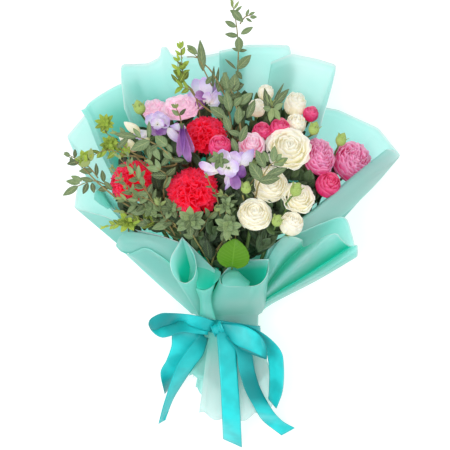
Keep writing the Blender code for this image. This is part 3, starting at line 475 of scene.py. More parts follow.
# Leaves and stems: blade, rib and young colours, rib width, side veins, wax, roughness, relief, shine, glow
# (painted light: an emission)
LEAVES = {
    "eucalyptus_grey": ((0.16, 0.245, 0.105), (0.34, 0.41, 0.18), (0.32, 0.39, 0.11),
                        0.12, 6.0, 0.22, 0.55, 0.25, 0.3, 0.0),
    "eucalyptus_young": ((0.25, 0.38, 0.04), (0.5, 0.58, 0.12), (0.5, 0.58, 0.07),
                         0.16, 6.0, 0.06, 0.5, 0.3, 0.3, 0.0),
    "leaf_dark": ((0.05, 0.092, 0.044), (0.12, 0.19, 0.07), (0.1, 0.17, 0.05),
                  0.1, 8.0, 0.08, 0.42, 0.4, 0.3, 0.0),
    "leaf_green": ((0.085, 0.24, 0.006), (0.13, 0.32, 0.02), (0.13, 0.27, 0.012),
                   0.07, 9.0, 0.02, 0.4, 0.6, 0.3, 0.05),
    "sepal_green": ((0.3, 0.43, 0.09), (0.5, 0.6, 0.22), (0.58, 0.52, 0.2),
                    0.2, 7.0, 0.1, 0.5, 0.3, 0.5, 0.0),
    "stem_green": ((0.1, 0.19, 0.045), (0.17, 0.28, 0.07), (0.2, 0.27, 0.07),
                   0.3, 3.0, 0.08, 0.5, 0.3, 0.5, 0.0),
    "twig_brown": ((0.22, 0.17, 0.06), (0.36, 0.32, 0.11), (0.34, 0.34, 0.1),
                   0.3, 4.0, 0.05, 0.6, 0.3, 0.5, 0.0),
}
FINISHES = {}
for name, (*tones, roughness, relief, painted_glow) in PETALS.items():
    values = dict(zip(PETAL_COLOURS + PETAL_NUMBERS, tones))
    FINISHES[name] = finish(name, "petal_tone", values, roughness, relief, painted_glow=painted_glow, **PETAL_SHEEN)
for name, (*tones, roughness, relief, shine, painted_glow) in LEAVES.items():
    values = dict(zip(LEAF_COLOURS + LEAF_NUMBERS, tones))
    FINISHES[name] = finish(name, "leaf_tone", values, roughness, relief, painted_glow=painted_glow, Specular_IOR_Level=shine)
FINISHES["film_mint"] = finish(
    "film_mint", "film_tone",
    {"Body": (0.135, 0.63, 0.53), "Milk": (0.33, 0.655, 0.60), "Deep": (0.004, 0.53, 0.32),
     "Edge": (0.50, 0.72, 0.69), "Cloud": 0.8},
    0.42, 0.04, painted_glow=0.12, Subsurface_Weight=0.6, Specular_IOR_Level=0.25, Subsurface_Scale=0.02,
    Subsurface_Radius=(0.35, 1.0, 0.8))
FINISHES["ribbon_turquoise"] = finish(
    "ribbon_turquoise", "satin_tone", {"Body": (0.022, 0.78, 0.80), "Deep": (0.0, 0.27, 0.28),
                                       "Threads": 40.0},
    0.36, 0.12, 0.0002, Specular_IOR_Level=0.35, Anisotropic=0.5)
FINISHES["tie_string"] = finish(
    "tie_string", "satin_tone", {"Body": (0.45, 0.35, 0.20), "Deep": (0.28, 0.20, 0.10), "Threads": 12.0},
    0.85, 0.6, 0.0005)


# Meshes

def new_object(name, data):
    """An object in the scene."""
    item = bpy.data.objects.new(name, data)
    bpy.context.scene.collection.objects.link(item)
    return item


class Skin:
    """Collects grids of points into one mesh."""

    def __init__(self):
        self.points = []
        self.faces = []
        self.grow = []
        self.finish_of = []
        self.count = 0

    def add(self, grid, along, over, shade=0.5, part=0, ring=False):
        """A grid with its growth and shade. A ring closes its last column onto its first."""
        rows, columns = grid.shape[:2]
        index = np.arange(rows * columns).reshape(rows, columns) + self.count
        if ring:
            index = np.concatenate([index, index[:, :1]], axis=1)
        corners = np.stack([index[:-1, :-1], index[:-1, 1:], index[1:, 1:], index[1:, :-1]], axis=-1)
        self.faces.append(corners.reshape(-1, 4))
        self.finish_of.append(np.full(len(self.faces[-1]), part))
        self.points.append(grid.reshape(-1, 3))
        tone = np.empty((rows, columns, 4))
        tone[..., 0] = along
        tone[..., 1] = over
        tone[..., 2] = shade
        tone[..., 3] = 1.0
        self.grow.append(tone.reshape(-1, 4))
        self.count += rows * columns

    def make(self, name, finishes, skin, nodes, slot):
        """One piece of the bouquet from everything that was added."""
        mesh = bpy.data.meshes.new(name)
        points = (np.concatenate(self.points) + np.array(SHIFT)) * MM
        mesh.from_pydata(points.tolist(), [], np.concatenate(self.faces).tolist())
        tone = mesh.attributes.new("grow", "FLOAT_COLOR", "POINT")
        tone.data.foreach_set("color", np.concatenate(self.grow).ravel())
        for finish_name in finishes:
            mesh.materials.append(FINISHES[finish_name])
        mesh.polygons.foreach_set("material_index", np.concatenate(self.finish_of).astype(int))
        mesh.polygons.foreach_set("use_smooth", np.ones(len(mesh.polygons), bool))
        mesh.update()
        item = new_object(name, mesh)
        if skin:
            solid = item.modifiers.new("skin", "SOLIDIFY")
            solid.thickness = skin * MM
            solid.offset = 0.0
        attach(item, "root")
        for node in nodes:
            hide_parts(node)
        return item


def turned(grid, base, axis):
    """A grid made round +Z, moved so that its origin is at a base and +Z points along an axis."""
    first, _ = across(axis)
    axis = axis.normalized()
    return grid @ np.array([first, axis.cross(first), axis]) + np.array(base)


def shares(rows, columns):
    """Shares along a grid, from 0 to 1, and across it, from -1 to 1."""
    return np.linspace(0.0, 1.0, rows)[:, None], np.linspace(-1.0, 1.0, columns)[None, :]


def built(origin, *parts):
    """A grid from an origin and amounts that each go along a direction."""
    return sum((amount[..., None] * np.array(direction) for amount, direction in parts), np.array(origin))


def even_shares(count):
    """The shares from 0 to 1 in even steps."""
    return [step / count for step in range(count + 1)]


def lay_grid(levels, places, point):
    """A grid of the points that a function gives for each level and each place."""
    return np.array([[list(point(level, place)) for place in places] for level in levels])


def sepal(turn, foot, rim, height, half_width, cup, rise, curl, rounding, rows):
    """A sepal's grid round +Z: from a foot near the axis to a tip that stands out and curls over."""
    t, s = shares(rows, 5)
    tt = t * (1.0 - rounding * np.abs(s) ** 2.6)
    over = np.clip((tt - 0.68) / 0.32, 0.0, 1.0) ** 2
    radius = foot + (rim - foot) * tt ** cup + curl * over
    z = height * tt ** rise - curl * 0.9 * over
    breadth = half_width * (0.35 + 0.65 * np.sin(t * math.pi * 0.62) ** 0.9)
    angle = turn + s * breadth / np.maximum(radius, half_width * 0.42)
    return np.stack([radius * np.cos(angle), radius * np.sin(angle), z], axis=-1), t, (s + 1) / 2


def cupped(turn, foot, belly, mouth, high, spread, curl, ruffle, waves, lap, rounding, notch, phase):
    """A cupped petal's grid round +Z: it swells to its belly, then closes or opens towards its mouth."""
    t, s = shares(8, 9)
    tt = t * (1.0 - rounding * np.abs(s) ** 2.4 - notch * np.exp(-(s / 0.2) ** 2))
    swell = np.sin(np.minimum(tt / 0.6, 1.0) * math.pi / 2) ** 0.75
    closing = np.clip((tt - 0.6) / 0.4, 0.0, 1.0)
    closing = closing * closing * (3 - 2 * closing)
    radius = foot + (belly - foot) * swell + (mouth - belly) * closing
    over = np.clip((tt - 0.75) / 0.25, 0.0, 1.0) ** 1.6
    radius = radius + curl * over + ruffle * np.sin(s * waves * math.pi + phase) * tt ** 3 + lap * s
    z = high * tt ** 1.1 - curl * 0.8 * over
    z = z + ruffle * 0.5 * np.cos(s * waves * math.pi * 0.7 + phase) * tt ** 3
    angle = turn + s * spread * (0.5 + 0.5 * np.sin(np.clip(tt, 0, 1) * math.pi * 0.6) ** 0.8)
    return np.stack([radius * np.cos(angle), radius * np.sin(angle), z], axis=-1), t, (s + 1) / 2


def tube(path, radii, sides):
    """A stem's grid along a path."""
    first = None
    rows = []
    for index, point in enumerate(path):
        forward = (path[min(index + 1, len(path) - 1)] - path[max(index - 1, 0)]).normalized()
        if first is None:
            first, _ = across(forward)
        first = (first - forward * first.dot(forward)).normalized()
        second = forward.cross(first)
        turns = [math.tau * side / sides for side in range(sides)]
        rows.append([point + (first * math.cos(turn) + second * math.sin(turn)) * radii[index]
                     for turn in turns])
    return np.array([[list(point) for point in row] for row in rows])


def closed_end(ring):
    """A ring shrunk almost to a point."""
    return ring.mean(axis=1, keepdims=True) * 0.999 + ring * 0.001


def add_stem(skin, path, radii, shade, part, sides=6):
    """A stem with closed ends."""
    body = tube(path, radii, sides)
    grid = np.concatenate([closed_end(body[:1]), body, closed_end(body[-1:])])
    skin.add(grid, np.linspace(0, 1, len(grid))[:, None], 0.8, shade, part, ring=True)


def leaf(skin, root, tip, sideways, width, shade, part=0, cup=0.12, bow=0.1, widest=0.45, rows=7, columns=5):
    """A leaf that folds along its midrib and bows along its length."""
    spine = tip - root
    length = spine.length
    forward = spine.normalized()
    sideways = (sideways - forward * sideways.dot(forward)).normalized()
    t, s = shares(rows, columns)
    power = math.log(0.5) / math.log(widest)
    breadth = width / 2 * np.sin(np.clip(t, 0.012, 0.988) ** power * math.pi) ** 0.8
    rise = cup * width * np.abs(s) * (breadth / (width / 2)) - bow * length * (2 * t - 1) ** 2
    grid = built(root, (t, spine), (s * breadth, sideways), (rise + bow * length, forward.cross(sideways)))
    skin.add(grid, t, (s + 1) / 2, shade, part)


# Heads of the blooms, settled clear of each other as in the solids

def fan_height(x, y):
    """Height of a bloom's centre on the fan of stems."""
    rise = FRONT_RISE + (BACK_RISE - FRONT_RISE) * (y - FRONT_ROW_Y) / FAN_DEPTH
    height = FAN_APEX_Z + (y - FAN_APEX_Y) * math.tan(math.radians(rise))
    return height - SIDE_DROP * (x / FAN_HALF_WIDTH) ** 2


def place_heads():
    """Every bloom's centre, axis and size."""
    heads = []
    for name, form, x, y, width, lift, facing, fork in BLOOMS:
        outward = Vector((x - WAIST_X, y - FAN_APEX_Y, 0)).normalized()
        angle = math.radians(facing)
        heads.append({
            "name": name, "form": form, "fork": fork, "width": width, "depth": width * FORM_DEPTH[form],
            "centre": Vector((x, y, fan_height(x, y) + lift)), "radius": width / 2 * FORM_ROOM[form],
            "reach": width / 2,
            "axis": (outward * math.cos(angle) + Vector((0, 0, math.sin(angle)))).normalized(),
        })
    for _ in range(SETTLING_ROUNDS):
        for index, one in enumerate(heads):
            for other in heads[index + 1:]:
                apart = other["centre"] - one["centre"]
                short = one["radius"] + other["radius"] + HEAD_GAP - apart.length
                if short > 0:
                    push = Vector((apart.x * 0.45, apart.y * 0.45, apart.z)).normalized() * short * 0.3
                    one["centre"] -= push
                    other["centre"] += push
    for head in heads:
        head["base"] = head["centre"] - head["axis"] * head["depth"] / 2
    return heads


HEADS = place_heads()


def bend_clear(point, margin, skip=None):
    """Push a point out of every bloom's space."""
    point = Vector(point)
    for _ in range(4):
        for head in HEADS:
            if head["name"] == skip:
                continue
            away = point - head["centre"]
            keep = head["reach"] + margin
            if away.length < keep:
                point = head["centre"] + away.normalized() * keep
    return point


# Blooms

def add_sepals(skin, head, length):
    """Five green sepals under a bloom."""
    radius = head["width"] * 0.14
    for index in range(5):
        grid, along, over = sepal(math.tau * index / 5, radius * 0.4, radius * 1.7, length * 0.5,
                                  length * 0.22,
                                  cup=0.8, rise=0.9, curl=length * 0.2, rounding=0.7, rows=5)
        placed = turned(grid, head["base"] - head["axis"] * 3.0, head["axis"])
        skin.add(placed, along, over, rng.uniform(0.2, 0.8), 1)


# Whorls from the outside in: petals, belly, mouth and rim height as shares, half angle, curl, ruffle
WHORLS = {
    "open": [(4, 0.90, 1.04, 0.56, 56, 0.16, 0.08), (5, 0.90, 0.94, 0.76, 50, 0.14, 0.08),
             (4, 0.78, 0.72, 0.88, 54, 0.12, 0.07), (4, 0.60, 0.50, 0.95, 56, 0.10, 0.05),
             (3, 0.44, 0.34, 1.00, 66, 0.07, 0.04), (3, 0.28, 0.18, 1.02, 74, 0.04, 0.02),
             (2, 0.14, 0.08, 1.00, 100, 0.01, 0.0)],
    "globe": [(5, 0.94, 0.98, 0.60, 50, 0.08, 0.04), (5, 0.97, 0.90, 0.76, 50, 0.09, 0.04),
              (5, 0.88, 0.78, 0.87, 50, 0.09, 0.04), (4, 0.76, 0.62, 0.95, 56, 0.08, 0.04),
              (4, 0.62, 0.46, 1.01, 56, 0.07, 0.04),
              (3, 0.48, 0.34, 1.03, 66, 0.05, 0.03), (3, 0.30, 0.19, 1.04, 72, 0.03, 0.02),
              (2, 0.15, 0.08, 1.02, 100, 0.01, 0.0)],
    "cabbage": [(5, 0.94, 1.00, 0.50, 44, 0.08, 0.05), (6, 0.95, 0.93, 0.68, 40, 0.06, 0.06),
                (8, 0.86, 0.82, 0.80, 32, 0.05, 0.07), (8, 0.76, 0.71, 0.88, 31, 0.04, 0.07),
                (8, 0.65, 0.60, 0.93, 30, 0.04, 0.07), (7, 0.54, 0.49, 0.97, 32, 0.03, 0.06),
                (6, 0.42, 0.38, 1.00, 36, 0.03, 0.06), (5, 0.30, 0.26, 1.00, 42, 0.02, 0.05),
                (4, 0.19, 0.14, 0.99, 52, 0.02, 0.03), (2, 0.09, 0.06, 0.97, 90, 0.01, 0.0)],
    "bud": [(4, 0.95, 0.84, 0.78, 56, 0.05, 0.03), (4, 0.92, 0.70, 0.90, 56, 0.04, 0.03),
            (4, 0.78, 0.54, 0.97, 56, 0.03, 0.03), (4, 0.60, 0.38, 1.00, 58, 0.03, 0.02),
            (3, 0.42, 0.24, 1.01, 68, 0.02, 0.01), (2, 0.24, 0.10, 1.00, 96, 0.01, 0.0)],
    "soft": [(5, 0.78, 1.02, 0.62, 50, 0.10, 0.10), (5, 0.74, 0.86, 0.80, 48, 0.08, 0.10),
             (5, 0.60, 0.66, 0.92, 46, 0.05, 0.09), (4, 0.42, 0.44, 1.00, 50, 0.04, 0.07),
             (3, 0.26, 0.24, 1.02, 60, 0.03, 0.05)],
}
ROSE_STYLES = {"white_rose_open": "open", "pink_rose_tall": "cabbage", "pink_rose_outer": "cabbage",
               "pink_rose_pale": "open", "white_rose_right": "open"}
# How much longer than wide a bloom looks
STRETCH = {"pink_rose_tall": 1.25, "pink_rose_outer": 1.1, "white_rose_upper": 1.1, "lisianthus_pink": 0.82}

# Small moves and sizes of blooms against their solids: x, y, scale
NUDGES = {
    "pink_rose_tall": (-6, 0, 0.96), "white_rose_open": (-3, 3, 0.97), "white_rose_right": (-5, 0, 0.9),
    "white_rose_middle": (-4, -1, 1.1), "white_rose_upper": (0, -4, 1.0), "lisianthus_pink": (5, -7, 1.0),
    "pink_rose_outer": (-3, 1, 0.93), "white_rose_front": (0, 0, 0.96), "lisianthus_side": (6, 0, 1.0),
    "white_rose_low": (0, 2, 1.0), "pink_bud_centre": (1.5, -4, 1.1), "pink_bud_right": (0, -3, 1.15),
}


def add_whorls(skin, head, whorls):
    """Whorls of cupped petals, each petal lapping over the next, round a closed heart."""
    radius = head["width"] / 2
    depth = head["depth"] * 1.02
    centre = np.array(head["centre"])
    stretch = STRETCH.get(head["name"], 1.0)
    move_x, move_y, scale = NUDGES.get(head["name"], (0, 0, 1.0))
    offset = rng.uniform(0, 6.3)
    for count, belly, mouth, high, spread, curl, ruffle in whorls:
        offset += math.pi / count + rng.uniform(-0.15, 0.15)
        for index in range(count):
            size = rng.uniform(0.96, 1.03)
            grid, along, over = cupped(
                offset + math.tau * index / count + rng.uniform(-0.1, 0.1), radius * 0.12,
                radius * belly * size,
                radius * mouth * size, depth * (high + rng.uniform(-0.03, 0.03)), math.radians(spread),
                curl=radius * curl * rng.uniform(0.6, 1.4), ruffle=radius * ruffle,
                waves=rng.uniform(1.2, 2.6),
                lap=radius * 0.035, rounding=rng.uniform(0.14, 0.24), notch=rng.uniform(0.0, 0.05),
                phase=rng.uniform(0, 6.3))
            placed = turned(grid, head["base"], head["axis"])
            placed[..., 1] = centre[1] + (placed[..., 1] - centre[1]) * stretch
            placed = (placed - centre) * scale + centre + np.array([move_x, move_y, 0.0])
            skin.add(placed, along, over, rng.uniform(0.2, 1.0))
    foot = head["base"] + Vector((move_x, move_y, 0)) + head["axis"] * depth * 0.1
    add_closed_bud(skin, foot, head["axis"], depth * 0.82 * scale, radius * 1.3 * scale, 0, 0.3)


def build_rose(head, finish_name, style):
    """A rose or a lisianthus: whorls of petals with green sepals under them."""
    skin = Skin()
    add_whorls(skin, head, WHORLS[style])
    add_sepals(skin, head, head["width"] * (0.4 if style == "soft" else 0.5))
    slot = "rose_pink" if finish_name == "rose_hot" else finish_name
    skin.make(head["name"] + "_petals", [finish_name, "sepal_green"], PETAL_SKIN, [head["name"]], slot)


# A carnation's rings of petals from the outside in: how many, and how far they lean out
CARNATION_RINGS = ((8, 86), (11, 66), (11, 48), (9, 30), (5, 13))


def build_carnation(head):
    """A carnation: a dome of crowded fan petals with toothed, crumpled edges."""
    skin = Skin()
    radius = head["width"] / 2
    depth = head["depth"]
    t, s = shares(7, 15)
    tooth = 1.0 + 0.045 * np.where(np.arange(15) % 2, 1.0, -1.0)[None, :] * (t > 0.9)
    half_width = radius * (0.10 + 0.36 * t ** 1.1)
    for ring, (count, lean) in enumerate(CARNATION_RINGS):
        for index in range(count):
            azimuth = math.tau * (index + 0.5 * (ring % 2)) / count + rng.uniform(-0.2, 0.2)
            tilt = math.radians(lean + rng.uniform(-7, 7))
            out = np.array([math.cos(azimuth), math.sin(azimuth), 0.0])
            side = np.array([-math.sin(azimuth), math.cos(azimuth), 0.0])
            spine = out * math.sin(tilt) + np.array([0, 0, 1.0]) * math.cos(tilt)
            roll = rng.uniform(-0.7, 0.7)
            side = side * math.cos(roll) + np.cross(spine, side) * math.sin(roll)
            length = radius * (0.98 + rng.uniform(-0.07, 0.05)) * (1.0 - 0.02 * ring)
            waves = rng.uniform(1.6, 2.6)
            phase = rng.uniform(0, 6.3)
            crumple = radius * 0.15 * t ** 1.8 * np.sin(s * waves * math.pi + phase)
            crumple = crumple + radius * 0.05 * t ** 3 * np.sin(s * 6.0 * math.pi + phase * 2)
            reach = length * t * (1.0 - 0.13 * s ** 2) * tooth
            grid = built((0, 0, 0), (reach, spine), (s * half_width, side), (crumple, np.cross(spine, side)))
            grid[..., 2] = grid[..., 2] * (depth * 0.62 / radius) + depth * 0.34
            skin.add(turned(grid, head["base"], head["axis"]), t, (s + 1) / 2, rng.uniform(0.1, 1.0))
    cup = [head["base"] + head["axis"] * depth * share for share in (-0.05, 0.1, 0.3, 0.42)]
    add_stem(skin, cup, [radius * 0.16, radius * 0.24, radius * 0.26, radius * 0.36], 0.3, 1, 10)
    skin.make(head["name"] + "_petals", ["carnation_red", "sepal_green"], PETAL_SKIN, [head["name"]],
              "carnation_red")


def add_closed_bud(skin, base, axis, length, width, part, shade):
    """A closed bud: a pointed egg with the folds of its petals."""
    t = np.linspace(0.0, 1.0, 9)[:, None]
    turn = np.linspace(0.0, math.tau, 12, endpoint=False)[None, :]
    swell = width / 2 * np.sin(np.clip(t, 0.01, 0.992) ** 0.8 * math.pi) ** 0.75
    swell = swell * (1 + 0.07 * np.cos(3 * turn + 4 * t))
    grid = np.stack([swell * np.cos(turn), swell * np.sin(turn), t * length + 0 * turn], axis=-1)
    skin.add(turned(grid, base, axis), t, 0.5 + 0.5 * np.sin(turn), shade, part, ring=True)


# Free petals of the freesias in the frame: root, tip, width, cup, bow, finish (0 lilac, 1 purple, 3 cream)
FREE_PETALS = {
    "freesia_top": [
        ((204, 100, 62), (194, 79, 74), 17, 0.2, 0.1, 0),
        ((206, 100, 66), (203, 77, 84), 18, 0.22, 0.12, 0),
        ((207, 100, 64), (214, 82, 72), 13, 0.2, 0.1, 1), ((205, 98, 74), (195, 97, 92), 15, 0.2, 0.16, 1),
        ((208, 102, 66), (221, 93, 78), 15, 0.22, 0.14, 0),
        ((208, 104, 64), (222, 104, 66), 11, 0.15, 0.12, 0),
        ((204, 102, 70), (196, 108, 76), 13, 0.15, 0.16, 1),
        ((206, 102, 76), (209, 92, 94), 12, 0.25, 0.1, 0),
        ((204, 103, 66), (188, 93, 70), 12, 0.15, 0.1, 0)],
    "freesia_left": [
        ((157, 124, 96), (146, 116, 106), 18, 0.24, 0.14, 0),
        ((158, 124, 97), (157, 111, 107), 18, 0.24, 0.14, 0),
        ((159, 124, 96), (170, 119, 104), 18, 0.24, 0.14, 0),
        ((158, 126, 96), (166, 134, 104), 17, 0.2, 0.16, 1),
        ((157, 126, 97), (152, 135, 106), 17, 0.2, 0.16, 1),
        ((157, 124, 108), (151, 120, 114), 12, 0.22, 0.1, 0),
        ((158, 124, 108), (164, 121, 114), 12, 0.22, 0.1, 0),
        ((158, 125, 108), (158, 130, 114), 11, 0.2, 0.1, 0),
        ((148, 132, 96), (133, 136, 100), 11, 0.15, 0.12, 0),
        ((146, 134, 94), (140, 142, 98), 10, 0.15, 0.12, 0)],
    "freesia_falling": [
        ((182, 125, 116), (179, 157, 126), 11, 0.45, 0.1, 1),
        ((183, 128, 116), (190, 162, 124), 12, 0.5, 0.12, 1),
        ((186, 128, 112), (194, 152, 118), 10, 0.4, 0.14, 1),
        ((183, 132, 106), (174, 124, 108), 10, 0.2, 0.1, 1)],
    "freesia_centre": [
        ((227, 167, 148), (212, 158, 158), 19, 0.22, 0.14, 0),
        ((228, 166, 148), (222, 149, 158), 19, 0.22, 0.14, 0),
        ((229, 166, 148), (236, 151, 158), 19, 0.22, 0.14, 0),
        ((230, 168, 148), (239, 163, 160), 18, 0.22, 0.14, 0),
        ((229, 169, 148), (231, 178, 158), 16, 0.22, 0.14, 0),
        ((226, 169, 148), (217, 170, 156), 15, 0.2, 0.12, 0),
        ((218, 170, 150), (199, 163, 150), 12, 0.2, 0.1, 0),
        ((219, 172, 148), (204, 172, 146), 10, 0.2, 0.1, 0),
        ((232, 172, 148), (238, 189, 150), 14, 0.22, 0.12, 1),
        ((230, 172, 146), (229, 186, 146), 12, 0.2, 0.12, 0),
        ((236, 166, 148), (243, 152, 150), 12, 0.25, 0.1, 0)],
}
# Closed buds beside them: root, tip, width, finish
FREE_BUDS = {
    "freesia_top": [((210, 104, 70), (218, 88, 80), 7, 0)],
    "freesia_left": [
        ((168, 128, 104), (179, 143, 112), 12, 0), ((150, 138, 98), (137, 147, 100), 8, 3),
        ((140, 133, 100), (124, 122, 102), 12, 3), ((136, 148, 98), (119, 137, 100), 11, 3),
        ((142, 146, 98), (128, 150, 100), 9, 3)],
    "freesia_falling": [((186, 128, 112), (170, 126, 116), 9, 0)],
    "freesia_centre": [
        ((241, 166, 150), (254, 149, 154), 15, 0), ((240, 178, 146), (243, 165, 154), 13, 1),
        ((234, 174, 146), (225, 190, 146), 7, 0)],
}


def free_petal(skin, root, tip, width, cup, bow, shade, part):
    """One petal from its root to its tip, rounded at the tip, turned up to the light."""
    spine = tip - root
    forward = spine.normalized()
    face = Vector((rng.gauss(0, 0.2), rng.gauss(0, 0.2), 1.0))
    sideways = forward.cross(face).normalized()
    t, s = shares(9, 9)
    breadth = width / 2 * (0.22 + 0.78 * np.sin(np.clip(t * 0.9 + 0.03, 0, 1) ** 1.35 * math.pi) ** 0.7)
    breadth = breadth * np.sqrt(np.clip(1 - np.clip((t - 0.86) / 0.16, 0, 1) ** 2, 0, 1))
    wave = 0.04 * width * np.sin(s * 5 + 3 * t) * t ** 2
    rise = cup * width * s ** 2 * (1 - 0.5 * t) + bow * spine.length * np.sin(t * math.pi) + wave
    grid = built(root, (t, spine), (s * breadth, sideways), (rise, sideways.cross(forward)))
    skin.add(grid, t, (s + 1) / 2, shade, part)


def build_freesia(head):
    """A freesia spray: open petals and closed buds on one arched stalk."""
    skin = Skin()
    name = head["name"]
    for root, tip, width, cup, bow, part in FREE_PETALS[name]:
        free_petal(skin, spot(*root), spot(*tip), width, cup, bow, rng.uniform(0.3, 1.0), part)
    for root, tip, width, part in FREE_BUDS[name]:
        start, end = spot(*root), spot(*tip)
        add_closed_bud(skin, start, end - start, (end - start).length, width, part, rng.uniform(0.4, 0.9))
        stalk = [head["base"], head["base"].lerp(start, 0.5) - Vector((0, 0, 3)), start]
        add_stem(skin, stalk, [1.1, 1.0, 0.9], 0.5, 2)
    axis = head["axis"]
    throat = spot(*FREE_PETALS[name][0][0])
    stalk = [head["base"] - axis * 2, head["base"].lerp(throat, 0.5), throat + axis * 2]
    add_stem(skin, stalk, [1.6, 2.0, 3.2], 0.5, 2, 8)
    skin.make(name + "_petals", ["freesia_lilac", "freesia_purple", "stem_green", "rose_white"],
              PETAL_SKIN, [name],
              "freesia_lilac")


def rose_finish(name):
    """The finish of a rose by its name."""
    if name.startswith("white"):
        return "rose_white"
    if "pale" in name:
        return "rose_pale_pink"
    return "rose_pink" if name in ("pink_rose_tall", "pink_rose_outer") else "rose_hot"


def build_blooms():
    """Every bloom in its own form."""
    for head in HEADS:
        name = head["name"]
        form = head["form"]
        if form == "carnation":
            build_carnation(head)
        elif form == "freesia":
            build_freesia(head)
        elif form == "lisianthus":
            build_rose(head, "lisianthus_pink", "soft")
        else:
            build_rose(head, rose_finish(name), ROSE_STYLES.get(name, "globe" if form == "rose" else "bud"))


# Stems and leaves

def waist_point(goal):
    """Where the stem that goes to a point passes the waist."""
    reach = max(goal.y - WAIST_Y, 40.0)
    across_share = max(-1.0, min(1.0, (goal.x - WAIST_X) / (reach * 0.75)))
    up_share = max(-1.0, min(1.0, ((goal.z - WAIST_Z) / reach - 0.42) / 0.4))
    x = WAIST_X + across_share * (CORE_HALF_WIDTH - 5)
    z = WAIST_Z + up_share * (CORE_HALF_HEIGHT - 5) * math.sqrt(max(0.0, 1 - across_share ** 2 * 0.8))
    return Vector((x, CORE_TOP_Y - 6, z))


def stem_path(goal, arrival, fork=None, skip=None, steps=10):
    """Points of a stem from the waist, or from its fork, to a goal that it reaches along a direction."""
    start = Vector(FORKS[fork]) if fork else waist_point(goal)
    leaving = (start - waist_point(start)).normalized() if fork else (goal - start).normalized()
    reach = (goal - start).length
    first = start + leaving * reach * 0.3
    second = goal - arrival * min(22.0, reach * 0.3)
    path = []
    for step in range(steps + 1):
        t = step / steps
        u = 1 - t
        point = start * u ** 3 + first * 3 * t * u ** 2 + second * 3 * t * t * u + goal * t ** 3
        path.append(point if step in (0, steps) else bend_clear(point, STEM_CLEARANCE, skip))
    return path


def below_stem(path):
    """The same stem below the waist, down to its cut end."""
    top = path[0]
    inward = 0.9
    x = WAIST_X + (top.x - WAIST_X) * inward + rng.uniform(-2, 2)
    z = WAIST_Z + (top.z - WAIST_Z) * inward + rng.uniform(-1, 1)
    end = Vector((WAIST_X - (top.x - WAIST_X) * 0.8, CUT_END_Y - rng.uniform(0, 12),
                  WAIST_Z - (top.z - WAIST_Z) * 0.7))
    return [end, Vector((x, WAIST_Y - 12, z)), top]


def build_stems(starts):
    """The stem bundle: every stem from its cut end to its bloom or sprig, with leaves and green buds."""
    skin = Skin()
    for fork in FORKS.values():
        goal = Vector(fork)
        arrival = (goal - waist_point(goal)).normalized()
        path = stem_path(goal, arrival, steps=6)
        add_stem(skin, below_stem(path) + path[1:], [2.3] * (len(path) + 2), rng.uniform(0.2, 0.8), 0, 8)
    for head in HEADS:
        neck = head["base"] - head["axis"] * 4
        path = stem_path(neck, head["axis"], head["fork"], head["name"])
        radius = 1.5 if head["fork"] else 2.3
        full = path if head["fork"] else below_stem(path) + path[1:]
        radii = [radius] * len(full) + [head["width"] * 0.10]
        add_stem(skin, full + [head["base"]], radii, rng.uniform(0.2, 0.8), 0, 8)
        leaves = 4 if head["form"] in ("rose", "bud_rose") else 3
        for index in range(leaves):
            share = 0.30 + 0.55 * index / leaves
            root = smooth_point(path, share)
            forward = (smooth_point(path, share + 0.05) - smooth_point(path, share - 0.05)).normalized()
            one, two = across(forward)
            turn = index * 2.4 + rng.uniform(-0.6, 0.6)
            out = one * math.cos(turn) + two * math.sin(turn)
            size = rng.uniform(22, 34)
            tip = bend_clear(root + (forward * 0.8 + out * 0.75).normalized() * size, 2.0)
            if inside(OPENING, frame_place(root)) and inside(OPENING, frame_place(tip)):
                leaf(skin, root, tip, forward.cross(out), size * 0.5, rng.uniform(0, 0.9), 1, rows=6)
    for start, direction, fork in starts:
        path = stem_path(start, direction, fork)
        add_stem(skin, path, np.linspace(1.1, 0.8, len(path)), rng.uniform(0.3, 0.9), 2, 6)
    for x, y, z, width, fork in GREEN_BUDS:
        centre = spot(x, y, z)
        up = (centre - Vector((WAIST_X, FAN_APEX_Y, FAN_APEX_Z))).normalized()
        path = stem_path(centre - up * width * 0.5, Vector((0, 0.2, 1)).normalized(), fork, steps=8)
        add_stem(skin, path, [1.1] * len(path), 0.5, 0, 6)
        add_closed_bud(skin, centre - up * width * 0.6, up, width * 1.35, width, 3, 0.5)
        for index in range(5):
            grid, along, over = sepal(math.tau * index / 5, 1.0, width * 0.52, width * 1.2, width * 0.26,
                                      cup=0.5,
                                      rise=1.0, curl=width * 0.1, rounding=0.6, rows=6)
            skin.add(turned(grid, centre - up * width * 0.62, up), along, over, rng.uniform(0.2, 0.7), 3)
    skin.make("stems_and_leaves", ["stem_green", "leaf_dark", "twig_brown", "sepal_green"], LEAF_SKIN,
              ["stem_bundle"], "stem_green")


# How far a sprig's leaves turn off the light at random, and how far along they are widest
LEAF_TILT = 0.35
LEAF_WIDEST = 0.42


